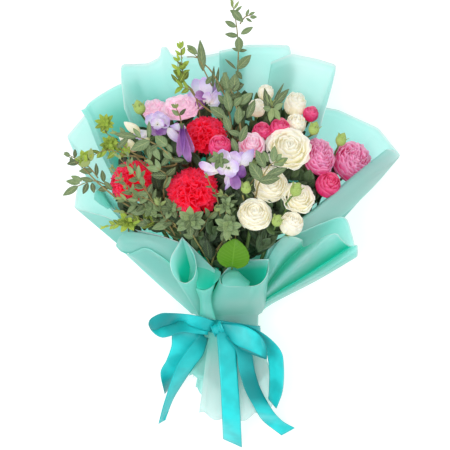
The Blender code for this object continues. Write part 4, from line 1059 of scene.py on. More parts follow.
def add_sprig(skin, route, pairs, length, width, stem=1.0):
    """A leafy stem: loose pairs of leaves that mostly turn up to the light, smaller towards the tip."""
    steps = 16
    path = [smooth_point(route, step / steps) for step in range(steps + 1)]
    add_stem(skin, path, np.linspace(stem, stem * 0.35, len(path)), 0.6, 1, 6)
    for pair in range(pairs):
        rank = pair / max(1, pairs - 1)
        roll = math.radians(rng.uniform(-25, 25) + (68 if pair % 2 else 0))
        size = (1.0 - 0.42 * rank ** 2) * rng.uniform(0.8, 1.15)
        for side in (1, -1):
            if rng.random() < 0.12:
                continue
            share = 0.06 + 0.9 * rank + rng.uniform(-0.02, 0.02)
            root = smooth_point(path, share)
            forward = (smooth_point(path, min(1, share + 0.04)) - smooth_point(path,
                                                                               share - 0.04)).normalized()
            face = Vector((rng.gauss(0, LEAF_TILT), rng.gauss(0, LEAF_TILT) - 0.1, 1)).normalized()
            flat_side = forward.cross(face).normalized()
            lift = math.sin(roll) * (0.9 if side > 0 else -0.3)
            outward = (flat_side * math.cos(roll) * side + face * lift).normalized()
            lean = math.radians(rng.uniform(36, 82) - 22 * rank)
            grown = size * rng.uniform(0.85, 1.12)
            tip = root + (forward * math.cos(lean) + outward * math.sin(lean)) * length * grown
            tip = bend_clear(tip, 1.0)
            blade_face = (face + Vector((rng.gauss(0, 0.45), rng.gauss(0, 0.45), 0))).normalized()
            shade = min(1.0, rng.uniform(0.0, 0.62) + 0.4 * rank ** 3)
            leaf(skin, root, tip, (tip - root).cross(blade_face), width * grown, shade, 0,
                 cup=rng.uniform(-0.22, -0.05), bow=rng.uniform(-0.04, 0.12), widest=LEAF_WIDEST)
    end = (path[-1] - path[-2]).normalized()
    for turn in (0.0, 2.1, 4.2):
        first, second = across(end)
        outward = first * math.cos(turn) + second * math.sin(turn)
        tip = path[-1] + (end + outward * 0.4) * length * 0.5
        leaf(skin, path[-1], tip, end.cross(outward), width * 0.4, 0.85, 0, rows=5, columns=3)


# Leaves set one by one where they stand out against the background: root, tip, width, shade
SET_LEAVES = {
    "eucalyptus_tall": [
        ((233, 8, 82), (231, 0, 84), 3.5, 0.8), ((234, 9, 82), (239, 1, 84), 3.5, 0.8),
        ((232, 10, 82), (243, 22, 86), 10.5, 0.35), ((236, 14, 80), (230, 10, 82), 5, 0.5),
        ((235, 12, 80), (242, 6, 82), 4, 0.6), ((246, 16, 80), (249, 9, 81), 4, 0.4),
        ((249, 15, 80), (255, 12, 81), 4, 0.5), ((250, 17, 80), (257, 17, 81), 5, 0.4),
        ((246, 18, 80), (252, 22, 81), 3.5, 0.3), ((236, 27, 79), (225, 21, 80), 7.5, 0.35),
        ((241, 34, 79), (253, 27, 81), 7.5, 0.4), ((238, 36, 79), (225, 34, 80), 7, 0.3),
        ((239, 37, 80), (239, 52, 83), 11, 0.35), ((239, 51, 78), (247, 50, 79), 4.5, 0.2),
        ((239, 51, 78), (232, 48, 79), 4, 0.3), ((237, 69, 75), (251, 55, 78), 12, 0.35),
        ((236, 69, 75), (225, 59, 76), 4, 0.2), ((236, 71, 75), (242, 79, 78), 7, 0.3),
        ((235, 86, 72), (243, 84, 76), 9, 0.1), ((235, 86, 72), (229, 84, 76), 8, 0.15),
        ((234, 100, 72), (228, 90, 78), 10, 0.4), ((234, 100, 72), (240, 92, 78), 9, 0.35)],
    "eucalyptus_twig": [
        ((197, 54, 84), (187, 45, 86), 9, 0.5), ((203, 71, 84), (200, 40, 88), 11, 0.3),
        ((213, 88, 86), (214, 66, 90), 4.5, 0.1), ((216, 88, 86), (219, 67, 90), 4.5, 0.15),
        ((222, 92, 88), (226, 72, 92), 11, 0.35), ((218, 92, 88), (222, 80, 92), 8, 0.3),
        ((226, 96, 88), (232, 78, 92), 9, 0.4), ((206, 84, 84), (212, 76, 88), 7, 0.3)],
    "eucalyptus_far_left": [
        ((78, 186, 100), (63, 195.5, 100), 9, 0.35), ((80, 183, 100), (66, 181, 102), 8, 0.45),
        ((82, 181, 100), (71, 176, 103), 8, 0.5), ((93, 181, 102), (80, 178, 103), 7, 0.3),
        ((88, 183, 100), (83, 194, 100), 7.5, 0.1), ((92, 183, 100), (94, 193, 101), 7, 0.15),
        ((93, 171, 103), (79, 171, 105), 8.5, 0.3), ((97, 176, 104), (96, 163, 106), 5.5, 0.05),
        ((91, 161, 104), (91, 148, 107), 8.5, 0.95), ((89, 158, 104), (76, 158, 106), 8.5, 0.92),
        ((90, 161, 105), (80, 166, 107), 9.5, 0.97), ((80, 161, 103), (67, 164, 103), 8.5, 0.1),
        ((75, 158, 102), (75, 149, 104), 5.5, 0.1), ((70, 156, 102), (64, 152.5, 102), 6, 0.3),
        ((71, 157, 102), (72, 164, 102), 5, 0.2), ((104, 182, 106), (102, 170, 108), 7, 0.2),
        ((108, 188, 108), (98, 190, 106), 8, 0.15), ((112, 190, 110), (104, 181, 110), 7, 0.3)],
    "eucalyptus_arch": [
        ((150, 141, 146), (131, 150, 149), 14, 0.35), ((167, 146, 146), (155, 136, 151), 14, 0.4),
        ((149, 138, 146), (149, 121, 152), 7, 0.3), ((137, 137, 142), (114, 134, 145), 9, 0.3),
        ((128, 138, 142), (117, 148, 145), 8, 0.25), ((149, 144, 144), (150, 160, 149), 8, 0.3),
        ((152, 146, 144), (160, 160, 149), 9, 0.45), ((163, 151, 142), (172, 159, 147), 9, 0.35),
        ((184, 160, 140), (169, 160, 145), 7, 0.02), ((141, 138, 144), (133, 128, 147), 6, 0.5),
        ((158, 145, 144), (149, 151, 148), 7, 0.2), ((172, 152, 142), (166, 143, 146), 7, 0.3),
        ((125, 135, 141), (120, 127, 144), 6, 0.5), ((170, 156, 140), (161, 166, 144), 8, 0.25)],
    "eucalyptus_top_right": [
        ((270, 117, 110), (264.5, 88, 118), 10, 0.1), ((272, 107, 113), (289, 89, 118), 10.5, 0.2),
        ((272, 108, 114), (270, 122, 112), 9, 0.75), ((273, 108, 114), (280, 120, 112), 9, 0.7),
        ((273, 104, 112), (284, 83, 112), 4, 0.2), ((271, 104, 113), (267, 93, 116), 6, 0.7),
        ((274, 110, 113), (283, 103, 115), 8, 0.6), ((271, 109, 113), (263, 108, 114), 8, 0.4)],
    "eucalyptus_right": [
        ((262, 181, 160), (249.5, 162, 164), 15, 0.3), ((265, 168, 162), (256, 150, 166), 12, 0.3),
        ((259, 181, 160), (280, 178, 166), 12.5, 0.25), ((266, 176, 162), (287, 168, 166), 10.5, 0.25),
        ((273, 162, 164), (274.5, 146, 168), 10, 0.4), ((274, 165, 164), (288, 158, 166), 9.5, 0.4),
        ((268, 162, 164), (263, 151, 168), 8, 0.35), ((275, 160, 164), (282, 154, 166), 7, 0.6),
        ((277, 164, 164), (284, 165, 165), 5.5, 0.6)],
    "eucalyptus_centre": [
        ((225, 117, 122), (210, 107, 126), 13, 0.3), ((230, 112, 118), (226, 91, 122), 12, 0.35),
        ((234, 92, 108), (235, 74, 112), 15, 0.3), ((228, 90, 106), (224, 72, 110), 10, 0.35),
        ((232, 90, 108), (244, 84, 110), 9, 0.0), ((247, 118, 120), (255, 100, 122), 10, 0.25),
        ((239, 104, 114), (252, 93, 116), 12, 0.4), ((238, 124, 128), (239, 106, 132), 12, 0.35),
        ((230, 132, 130), (224, 114, 132), 10.5, 0.3), ((241, 135, 134), (228, 131, 136), 8, 0.3),
        ((240, 142, 136), (247, 125, 138), 11, 0.3), ((236, 120, 124), (245, 111, 126), 9, 0.4),
        ((233, 106, 116), (242, 97, 118), 9, 0.4), ((226, 104, 114), (218, 95, 116), 9, 0.3),
        ((237, 152, 140), (232, 138, 142), 9, 0.3), ((236, 96, 110), (228, 98, 112), 8, 0.2)],
}
# Side twigs of those sprigs, in the frame
SIDE_TWIGS = {
    "eucalyptus_tall": [[(240, 24, 79), (245, 17, 80), (251, 15, 80)]],
    "eucalyptus_twig": [
        [(212, 86, 84), (204, 70, 84), (198, 58, 84), (187, 57, 84)], [(200, 62, 84), (197, 56, 84)]],
    "eucalyptus_far_left": [
        [(112, 188, 108), (97, 181, 102), (88, 182, 100), (78, 186, 100)],
        [(98, 178, 104), (90, 168, 103), (78, 160, 102), (69, 155, 102)]],
}


def add_set_leaves(skin, name):
    """The leaves of a sprig that are set one by one, and its side twigs."""
    for root, tip, width, shade in SET_LEAVES[name]:
        start, end = spot(*root), spot(*tip)
        face = Vector((rng.gauss(0, 0.2), rng.gauss(0, 0.2), 1))
        leaf(skin, start, end, (end - start).cross(face), width, shade, 0, cup=-0.12, bow=0.05, rows=8)
    for twig in SIDE_TWIGS.get(name, []):
        path = [smooth_point([spot(*point) for point in twig], step / 6) for step in range(7)]
        add_stem(skin, path, np.linspace(0.7, 0.4, 7), 0.6, 1, 6)


def add_star(skin, centre, leaves, length, width):
    """The tip of a sprig seen from above: leaves that spread all round, shorter and steeper inside."""
    for ring, (count, reach, rise) in enumerate(((leaves, 1.0, 0.3), (4, 0.62, 0.9))):
        for index in range(count):
            turn = math.tau * (index + 0.5 * ring) / count + rng.uniform(-0.2, 0.2)
            out = Vector((math.cos(turn), math.sin(turn), rise)).normalized()
            size = length * reach * rng.uniform(0.85, 1.1)
            root = centre + Vector((0, 0, ring * 2.0 - rng.uniform(0, 3)))
            leaf(skin, root, root + out * size, out.cross(Vector((0, 0, 1))), width * (0.75 + 0.25 * reach),
                 rng.uniform(0.2, 0.75), 0, cup=-0.14, bow=0.08, widest=0.5)


# Sprigs that end in a star of leaves seen from above: place, leaves, length, width
STARS = {"eucalyptus_star_left": ((190, 221, 152), 8, 21, 10.5),
         "eucalyptus_star_right": ((228, 226, 152), 7, 18, 10),
         "eucalyptus_on_freesia": ((219, 160, 168), 6, 13, 7),
         "young_shoot_left": ((105, 123, 100), 9, 14, 6)}
# Stems in the frame of the sprigs whose leaves hide their own route
SET_STEMS = {"eucalyptus_top_right": [(271, 121, 84), (272, 116, 100), (272, 106, 114)],
             "eucalyptus_right": [(256, 196, 138), (258, 186, 152), (262, 178, 160), (270, 165, 163),
                                  (278, 162, 164)]}


def build_sprigs():
    """Leafy sprigs with brown stems, and where each one joins the bundle."""
    starts = []
    for name, route, pairs, length, width, colour, fork in SPRIGS:
        skin = Skin()
        route = [bend_clear(point, SPRIG_CLEARANCE) for point in route]
        if name in SET_STEMS:
            route = [spot(*point) for point in SET_STEMS[name]]
        if name in STARS:
            centre, leaves, reach, breadth = STARS[name]
            top = spot(*centre)
            under = Vector((0, -6, -12))
            add_stem(skin, [top + under * 2, top + under, top], [0.8, 0.8, 0.7], 0.5, 1, 6)
            if name != "eucalyptus_on_freesia":
                stalk = [route[0], route[0].lerp(top + under * 2, 0.5), top + under * 2]
                add_sprig(skin, stalk, 3, length * 0.8, width * 0.9)
            add_star(skin, top, leaves, reach, breadth)
        elif name in SET_LEAVES:
            add_sprig(skin, route, 0, length, width)
            add_set_leaves(skin, name)
        else:
            add_sprig(skin, route, round(pairs * 0.85), length * 1.15, width * 1.15, 0.7)
        slot = "eucalyptus_" + colour
        skin.make(name + "_leaves", [slot, "twig_brown"], LEAF_SKIN, [name], slot)
        starts.append((route[0], (route[1] - route[0]).normalized(), fork))
    return starts


# More sprigs between the blooms: route in the frame with heights, pairs, leaf length and width, finish
FILLERS = [
    ([(188, 92, 88), (180, 88, 90), (178, 74, 88), (178, 60, 88)], 7, 15, 7, "young"),
    ([(172, 190, 122), (167, 176, 138), (160, 170, 144), (152, 164, 142)], 5, 18, 9, "grey"),
    ([(158, 214, 118), (143, 204, 136), (127, 190, 142), (113, 172, 134)], 9, 14, 5.5, "grey"),
    ([(152, 196, 132), (142, 182, 142), (134, 168, 144), (128, 156, 138)], 7, 13, 5.5, "grey"),
    ([(150, 200, 136), (136, 194, 140), (124, 182, 140), (114, 168, 132)], 7, 11, 4.5, "grey"),
    ([(172, 224, 112), (154, 216, 120), (140, 206, 124), (124, 200, 120)], 6, 23, 11, "grey"),
    ([(166, 230, 108), (150, 224, 112), (136, 216, 116), (122, 212, 114)], 5, 20, 10, "grey"),
    ([(128, 156, 108), (122, 150, 106), (116, 146, 104), (110, 143, 102)], 5, 14, 7, "young"),
    ([(118, 152, 108), (108, 150, 106), (100, 152, 104), (92, 156, 102)], 4, 14, 7, "young"),
    ([(214, 252, 96), (222, 242, 112), (228, 232, 128), (230, 222, 142)], 4, 19, 9, "grey"),
    ([(226, 214, 132), (229, 204, 140), (229, 194, 144), (226, 184, 148)], 8, 13, 5, "grey"),
    ([(210, 196, 136), (214, 190, 144), (216, 182, 148), (217, 174, 150)], 4, 11, 5, "grey"),
    ([(196, 236, 108), (203, 228, 124), (208, 218, 136), (216, 210, 140)], 5, 17, 8, "grey"),
    ([(243, 188, 128), (246, 178, 132), (248, 172, 132), (250, 166, 130)], 3, 15, 7, "grey"),
    ([(180, 116, 98), (178, 112, 102), (177, 110, 106), (176, 108, 108)], 2, 12, 6, "grey"),
]
# Leafy tips seen end on between the blooms: place, leaves, length, width, finish
FILLER_STARS = [
    ((109, 144, 104), 8, 13, 6, "young"),
    ((84, 158, 103), 6, 13, 7, "young"),
    ((152, 207, 128), 6, 17, 8, "grey"),
    ((128, 222, 112), 6, 16, 8, "young"),
    ((172, 208, 132), 6, 16, 8, "grey"),
    ((226, 206, 144), 6, 13, 6, "grey"),
]


def build_fillers():
    """The sprigs between the blooms, with their stems run back towards the waist."""
    skins = {"grey": Skin(), "young": Skin()}
    for route, pairs, length, width, colour in FILLERS:
        points = [bend_clear(spot(*point), STEM_CLEARANCE) for point in route]
        add_sprig(skins[colour], points, round(pairs * 0.9), length * 1.1, width * 1.1, 0.6)
        start = points[0]
        back = stem_path(start, (points[1] - points[0]).normalized(), None, steps=8)
        add_stem(skins[colour], back, np.linspace(1.0, 0.7, len(back)), 0.5, 1, 6)
    for centre, leaves, reach, breadth, colour in FILLER_STARS:
        top = spot(*centre)
        add_star(skins[colour], top, leaves, reach, breadth)
        stalk = [top + Vector((0, -14, -24)), top + Vector((0, -5, -10)), top]
        add_stem(skins[colour], stalk, [0.8, 0.8, 0.7], 0.5, 1)
    for colour, skin in skins.items():
        slot = "eucalyptus_" + colour
        skin.make("filler_" + colour, [slot, "twig_brown"], LEAF_SKIN, (), slot)


# Dark leaves: how many, the part of the frame they fill, and how far below the blooms they lie
UNDER_BANDS = [
    (150, (196, 226, 262, 268), (34, 70)),
    (300, (90, 80, 370, 270), (14, 50)),
    (190, (176, 196, 292, 268), (4, 40)),
    (70, (236, 150, 330, 232), (8, 30)),
    (60, (120, 185, 200, 236), (8, 34)),
]

# At the back they stay this close to a bloom, and at the front this far from the round leaf above this height
BACK_START_Y, BACK_REACH = 60, 18
ROUND_LEAF_CLEAR, ROUND_LEAF_CLEAR_HEIGHT = 30, 92


def in_bloom(point):
    """Whether a point is inside a bloom or lies over its middle."""
    for head in HEADS:
        across_gap = math.hypot(point.x - head["centre"].x, point.y - head["centre"].y)
        if (point - head["centre"]).length < head["reach"] + 1.0:
            return True
        if across_gap < head["reach"] * 0.9 and point.z > head["centre"].z:
            return True
    return False


def build_undergrowth():
    """Dark leaves under and between the blooms, kept inside the opening of the wrap."""
    skin = Skin()
    apex = Vector((WAIST_X, FAN_APEX_Y, FAN_APEX_Z))
    for count, (left, top, right, bottom), depths in UNDER_BANDS:
        made = 0
        while made < count:
            place = (rng.uniform(left, right), rng.uniform(top, bottom))
            flat = spot(*place, 80)
            floor_clear = 12 + 30 * max(0.0, (flat.y + 100) / 300) ** 1.7
            height = max(floor_clear, fan_height(flat.x, flat.y) - rng.uniform(*depths))
            root = bend_clear(spot(*place, height), DARK_LEAF_CLEARANCE)
            direction = (root - apex).normalized() + Vector((rng.gauss(0, 0.5), rng.gauss(0, 0.5),
                                                             rng.gauss(0, 0.25)))
            tip = bend_clear(root + direction.normalized() * rng.uniform(18, 36), DARK_LEAF_CLEARANCE)
            near = min(math.hypot(root.x - head["centre"].x, root.y - head["centre"].y) - head["reach"]
                       for head in HEADS)
            if near > BACK_REACH and root.y > BACK_START_Y:
                continue
            over = min(math.hypot(end.x - ROUND_LEAF_MIDDLE.x, end.y - ROUND_LEAF_MIDDLE.y)
                       for end in (root, tip, root.lerp(tip, 0.5)))
            if over < ROUND_LEAF_CLEAR and max(root.z, tip.z) > ROUND_LEAF_CLEAR_HEIGHT:
                continue
            if any(in_bloom(root.lerp(tip, share)) for share in (0.0, 0.25, 0.5, 0.75, 1.0)):
                continue
            if inside(OPENING, frame_place(root)) and inside(OPENING, frame_place(tip)):
                face = Vector((rng.gauss(0, 0.5), rng.gauss(0, 0.5), 1))
                leaf(skin, root, tip, (tip - root).cross(face), rng.uniform(11, 18), rng.uniform(0, 0.9),
                     0, cup=-0.1,
                     bow=rng.uniform(0, 0.12), rows=6)
                made += 1
    skin.make("undergrowth_leaves", ["leaf_dark"], LEAF_SKIN, (), "leaf_green")


def build_round_leaf():
    """The broad round leaf at the front: scalloped, cupped, with veins that fan from its root."""
    root, middle = ROUND_LEAF_ROOT, ROUND_LEAF_MIDDLE
    along = (middle - root).normalized()
    sideways = along.cross(Vector((0, 0, 1))).normalized()
    normal = sideways.cross(along).normalized()
    skin = Skin()
    t, s = shares(25, 25)
    half = ROUND_LEAF_WIDTH / 2
    breadth = half * np.sin(np.clip(t, 0.02, 0.985) ** 0.85 * math.pi) ** 0.5
    scallop = 1.0 + 0.02 * np.cos(t * 46) * np.abs(s) ** 6
    reach = (t * 2 - 1) * half
    veins = np.abs(np.sin((t * 7.5 - np.abs(s) * 2.0) * math.pi)) ** 0.6
    rise = 3.0 * s ** 2 - 4.5 * (2 * t - 1) ** 2 + 0.8 * veins * np.abs(s) ** 0.5
    grid = built(middle, (reach, along), (s * breadth * scallop, sideways), (rise, normal))
    skin.add(grid, t, (s + 1) / 2, 0.45)
    stalk = [root - along * 6 - normal * 22, root - normal * 10, middle - along * half * 0.6 - normal * 2]
    add_stem(skin, stalk, [1.2, 1.2, 0.8], 0.5, 1, 6)
    skin.make("round_leaf_blade", ["leaf_green", "stem_green"], LEAF_SKIN, ["round_leaf"], "leaf_green")


# Film. Angles go round the waist: 0 is right, 90 the front, -90 the back on the floor.
# A rim point: angle, x, y, height. Heights on the back are over the sheet's own layer.
SHEETS = {
    "film_side_right": {
        "layer": 4, "skirt": 76,
        "rim": [(-120, -64, 160, 0), (-101, -16, 168, 0), (-82, 36, 170, 0), (-63, 86, 162, 0),
                (-44, 142, 152, 16),
                (-25, 194, 126, 46), (-7, 221, 88, 84), (12, 174, 64, 108), (31, 120, 22, 108),
                (50, 54, -34, 96)],
    },
    "film_side_left": {
        "layer": 3, "skirt": 64,
        "rim": [(-60, 92, 158, 7), (-80, 41, 166, 1), (-100, -14, 168, 0), (-120, -66, 172, 3),
                (-140, -132, 184, 12),
                (-160, -190, 150, 26), (-180, -217, 115, 46), (-200, -196, 70, 68), (-220, -166, 28, 82),
                (-240, -120, -8, 90)],
    },
    "film_back_left": {
        "layer": 2, "skirt": 88,
        "rim": [(-150, -140, 150, 66), (-143, -145, 190, 58), (-140, -145, 209, 54), (-130, -110, 212, 36),
                (-125, -93, 221, 36), (-123, -94, 233, 38), (-117, -85, 234, 36), (-113, -79, 222, 34),
                (-100, -36, 222, 34), (-90, 20, 234, 36)],
    },
    "film_back_centre": {
        "layer": 1, "skirt": 108,
        "rim": [(-100, -16, 228, 38), (-90, 22, 236, 40), (-80, 50, 236, 42), (-70, 77, 235, 44),
                (-68, 78, 225, 44),
                (-60, 86, 204, 46)],
    },
    "film_back_right": {
        "layer": 0, "skirt": 96,
        "rim": [(-80, 52, 212, 52), (-70, 79, 223, 54), (-60, 113, 216, 56), (-50, 138, 208, 60),
                (-45, 131, 178, 70),
                (-40, 115, 124, 80)],
    },
    "film_front_left": {
        "layer": 4, "skirt": 72,
        "rim": [(-160, -192, 62, 52), (-177, -203, 46, 58), (-193, -206, 20, 68), (-210, -166, 10, 86),
                (-227, -124, -8, 98), (-243, -90, -16, 106), (-260, -62, -26, 110)],
    },
    "film_front_right": {
        "layer": 5, "skirt": 70,
        "rim": [(-20, 150, -48, 52), (-5, 163, -40, 64), (10, 158, -18, 82), (25, 145, 4, 98),
                (40, 110, -8, 112),
                (55, 78, -26, 116), (70, 46, -46, 112)],
    },
}

# Rows of points from the skirt's end to the band, and the angle between columns
SKIRT_ROWS = 12
ANGLE_STEP = 1.25


def rim_place(rim, angle):
    """The point of a rim at an angle, straight between its corners."""
    for one, two in zip(rim, rim[1:]):
        lowest, highest = sorted((one[0], two[0]))
        if lowest <= angle <= highest:
            share = (angle - one[0]) / (two[0] - one[0])
            return Vector(one[1:]).lerp(Vector(two[1:]), share)
    nearest = min(rim, key=lambda point: abs(point[0] - angle))
    return Vector(nearest[1:])


def gather(angle, distance):
    """Small radial folds where the film is drawn in: the same for every sheet, so that they nest."""
    close = math.exp(-abs(distance) / 55.0)
    folds = math.sin(math.radians(angle * 17)) * 0.9 + math.sin(math.radians(angle * 29 + 40)) * 0.5
    broad = math.sin(math.radians(angle * 5.3 + 20)) * 1.1 + math.sin(math.radians(angle * 9.1)) * 0.6
    return folds * close * min(1.0, abs(distance) / 10.0) + broad * min(1.0, abs(distance) / 160.0) * 0.9


def skirt_wave(angle, down):
    """How the skirt's pleats stand in and out: sharp folds that deepen away from the band."""
    fold = math.asin(math.sin(math.radians(angle * 5.0 + 20))) * 2.6
    fold += math.sin(math.radians(angle * 13)) * 0.8
    return fold * min(1.2, down / 60.0)


def film_point(sheet, angle, s):
    """A point of a sheet at an angle round the waist. s is -1 at the skirt's end and 1 at the rim."""
    turn = math.radians(angle)
    out = sheet["layer"] * LAYER_PITCH
    ragged = 1 + 0.05 * math.sin(3.1 * turn + sheet["layer"]) + 0.03 * math.sin(11 * turn)
    side_cut = 1 - 0.27 * abs(math.cos(turn)) ** 1.5
    down = max(0.0, -s) * sheet["skirt"] * ragged * side_cut
    flare = (down / SKIRT_LENGTH) ** 0.85 * 1.35
    half_width = FILM_HALF_WIDTH + (SKIRT_HALF_WIDTH - FILM_HALF_WIDTH) * flare + out
    half_height = FILM_HALF_HEIGHT + (SKIRT_HALF_HEIGHT - FILM_HALF_HEIGHT) * flare + out
    pleat = skirt_wave(angle, down) if s < 0 else 0.0
    point = Vector((WAIST_X + (half_width + pleat) * math.cos(turn), NECK_TOP_Y,
                    WAIST_Z + (half_height + pleat) * math.sin(turn)))
    if s < 0:
        point.y = NECK_END_Y - down
        return point
    rim = rim_place(sheet["rim"], angle)
    rim.z = max(rim.z, 0.0)
    placed = point + (rim - point) * s
    under = (LOWEST_LAYER - sheet["layer"]) * LAYER_PITCH
    settled = max(0.0, 1 - s / FLOOR_SHARE)
    resting = (point.z - under) * settled + under + rim.z * s ** FLOOR_LIFT
    on_floor = min(1.0, max(0.0, -1.6 * math.sin(turn) - 0.3))
    placed.z += (resting - placed.z) * on_floor
    distance = (placed - point).length
    ripple = gather(angle, distance)
    placed.z += ripple * (1 - on_floor * 0.6) + abs(ripple) * 0.2
    return placed


def sheet_grid(sheet, shape):
    """The grid of a sheet from its skirt's end to its rim, and how far towards the rim each row is."""
    first = min(point[0] for point in sheet["rim"])
    last = max(point[0] for point in sheet["rim"])
    count = int(round((last - first) / ANGLE_STEP))
    angles = [first + (last - first) * index / count for index in range(count + 1)]
    levels = list(np.linspace(-1.0, -0.0001, SKIRT_ROWS)) + list(np.linspace(0.0, 1.0, 27))

    def sheet_point(s, angle):
        point = film_point(sheet, angle, s)
        return shape(point, angle, s) if shape and s > 0 else point

    grid = lay_grid(levels, angles, sheet_point)
    smooth = grid.copy()
    smooth[:, 1:-1] = (grid[:, :-2] + 2 * grid[:, 1:-1] + grid[:, 2:]) / 4
    return smooth, np.array([max(0.0, s) for s in levels])[:, None]


def curl_edges(sheet_name):
    """The extra shape of the outer back sheets: a side edge rolls softly towards the front."""
    def left_roll(point, angle, s):
        near = max(0.0, 1 - abs(angle + 147) / 12.0)
        point.z += 9.0 * math.sin(near * math.pi) * s
        return point

    def right_strip(point, angle, s):
        near = max(0.0, 1 - abs(angle + 44) / 6.0)
        point.z += 10.0 * near * s
        return point

    return {"film_back_left": left_roll, "film_back_right": right_strip}.get(sheet_name)


# Painted shade: how much deeper green the film is painted inside the wrap than at the rim, and how far up the
# sheet that starts
PAINTED_INSIDE_SHADE = {"film_side_right": (0.55, 0.80), "film_side_left": (0.7, 0.86), "film_back_left": (0.9, 1.0),
       "film_back_centre": (0.2, 0.7), "film_back_right": (0.25, 0.7)}
# Painted light: how much paler the rim of a sheet is painted than its body; the skirt is painted as pale
PAINTED_RIM_LIGHT = 0.25


def build_film():
    """Every sheet of film, in its layers."""
    for name, sheet in SHEETS.items():
        skin = Skin()
        grid, along = sheet_grid(sheet, curl_edges(name))
        if name == "film_front_right":
            skin.add(grid[:SKIRT_ROWS + 1], along[:SKIRT_ROWS + 1], 0.5)
            add_patch(skin, RIGHT_BACK)
            add_patch(skin, RIGHT_FOLDS, 36, 90, RIGHT_FOLD_PAINTED_SHADE)
        else:
            amount, start = PAINTED_INSIDE_SHADE.get(name, (0.0, 0.0))
            # Painted shade deepens inside the wrap, and painted light pales the rim and the skirt
            inside_share = np.clip((start - along) / 0.45, 0.0, 1.0)
            rim_share = np.clip((along - 0.5) / 0.4, 0.0, 1.0)
            painted_light_shade = 0.5 + 0.5 * amount * inside_share - 0.5 * PAINTED_RIM_LIGHT * rim_share
            painted_light_shade[:SKIRT_ROWS] = 0.5 - 0.5 * PAINTED_RIM_LIGHT
            skin.add(grid, along, 0.5, painted_light_shade)
        skin.make(name + "_sheet", ["film_mint"], FILM_SKIN, [name], "film_mint")


def smooth_grid(lines, rows, columns):
    """A fine grid through a coarse one: each line of points is smoothed, then the lines across it."""
    fine = [[smooth_point(line, row / (rows - 1)) for row in range(rows)] for line in lines]
    grid = []
    for row in range(rows):
        through = [line[row] for line in fine]
        grid.append([list(smooth_point(through, column / (columns - 1))) for column in range(columns)])
    return np.array(grid)


def add_patch(skin, lines, rows=28, columns=40, painted_line_shades=None, fade=0.0):
    """A patch of film through lines of points, with each line's painted shade (painted light where it is
    below zero), which fades along the lines.
    """
    grid = smooth_grid([[spot(*point) for point in line] for line in lines], rows, columns)
    along = np.linspace(0, 1, rows)[:, None]
    painted_light_shade = np.zeros(columns)
    if painted_line_shades:
        painted_light_shade = np.interp(np.linspace(0, len(painted_line_shades) - 1, columns), range(len(painted_line_shades)), painted_line_shades)
    skin.add(grid, along, 0.5,
             0.5 + 0.5 * painted_light_shade[None, :] * (1 - fade * along))


# Right flap: lines from the waist to the rim, from its lower edge round to its upper edge
RIGHT_BACK = [
    [(256, 317, 34), (272, 304, 48), (318, 280, 62), (357, 257, 78)],
    [(255, 317, 36), (270, 298, 52), (318, 262, 70), (352, 234, 88)],
    [(253, 317, 38), (269, 293, 56), (310, 252, 78), (344, 217, 96)],
    [(250, 317, 40), (266, 288, 60), (298, 250, 84), (322, 223, 102)],
    [(248, 317, 42), (262, 284, 64), (288, 252, 88), (303, 231, 106)],
    [(246, 317, 44), (258, 282, 66), (276, 254, 92), (285, 236, 110)],
    [(243, 317, 44), (252, 282, 66), (264, 262, 92), (268, 250, 106)],
]
RIGHT_FOLDS = [
    [(255, 314, 36), (266, 306, 50), (296, 291, 68), (326, 275, 82), (357.5, 256, 96)],
    [(255, 314, 40), (266, 304, 56), (296, 288, 84), (327, 271, 98), (358, 250, 108)],
    [(254, 314, 41), (265.5, 302, 57), (297, 284, 84), (327, 266, 96), (357, 245, 104)],
    [(254, 314, 38), (265, 300, 52), (300, 279, 66), (328, 261, 76), (350, 246, 84)],
    [(253, 314, 41), (264.5, 298, 60), (298, 274, 84), (322, 255, 98), (342, 240, 108)],
    [(252, 314, 43), (264, 296.5, 66), (295, 270, 104), (317, 250, 118), (337, 234, 126)],
    [(251, 314, 43), (263.5, 295, 66), (291, 267, 104), (310, 250, 116), (327, 235.5, 124)],
    [(250, 314, 42), (263, 293, 62), (285, 268, 84), (297, 256, 92), (309, 245, 98)],
    [(249, 314, 41), (262.5, 291.5, 60), (280, 268, 76), (291, 256, 86), (303, 246, 92)],
    [(247, 314, 44), (262, 290, 66), (277, 266, 98), (288, 252, 112), (302, 240, 120)],
    [(245, 314, 45), (260, 289, 66), (272, 266, 98), (281, 251, 114), (293, 236.5, 124)],
    [(243, 314, 45), (258, 287, 64), (266, 266, 92), (272, 252, 106), (283, 236, 116)],
]
# Painted shade in the valleys between the right flap's folds, one value for each line
RIGHT_FOLD_PAINTED_SHADE = [0.0, 0.0, 0.35, 1.0, 0.45, 0.0, 0.05, 0.75, 0.75, 0.1, 0.0, 0.15]

# Left side: the inner sheet whose pale edge curls over
LEFT_INNER = [
    [(122, 196, 44), (109, 170, 46), (97, 145, 50), (88, 122, 54), (81, 110, 57)],
    [(126, 196, 50), (113, 170, 53), (102, 145, 57), (93, 121, 60), (85, 108, 62)],
    [(132, 196, 40), (119, 170, 41), (108, 144, 45), (99, 119, 49), (90, 102, 54)],
    [(142, 196, 26), (130, 168, 28), (119, 140, 32), (110, 114, 40), (103, 93, 48)],
    [(152, 196, 20), (143, 166, 22), (134, 138, 26), (127, 110, 34), (120, 84, 46)],
    [(164, 196, 14), (157, 166, 16), (149, 138, 20), (142, 108, 30), (136, 80, 42)],
]
# Painted light on the inner sheet's curled edge, painted shade deeper into its hollow
LEFT_INNER_PAINTED_LIGHT_SHADE = [-0.3, -0.2, 0.9, 1.0, 0.9, 0.8]
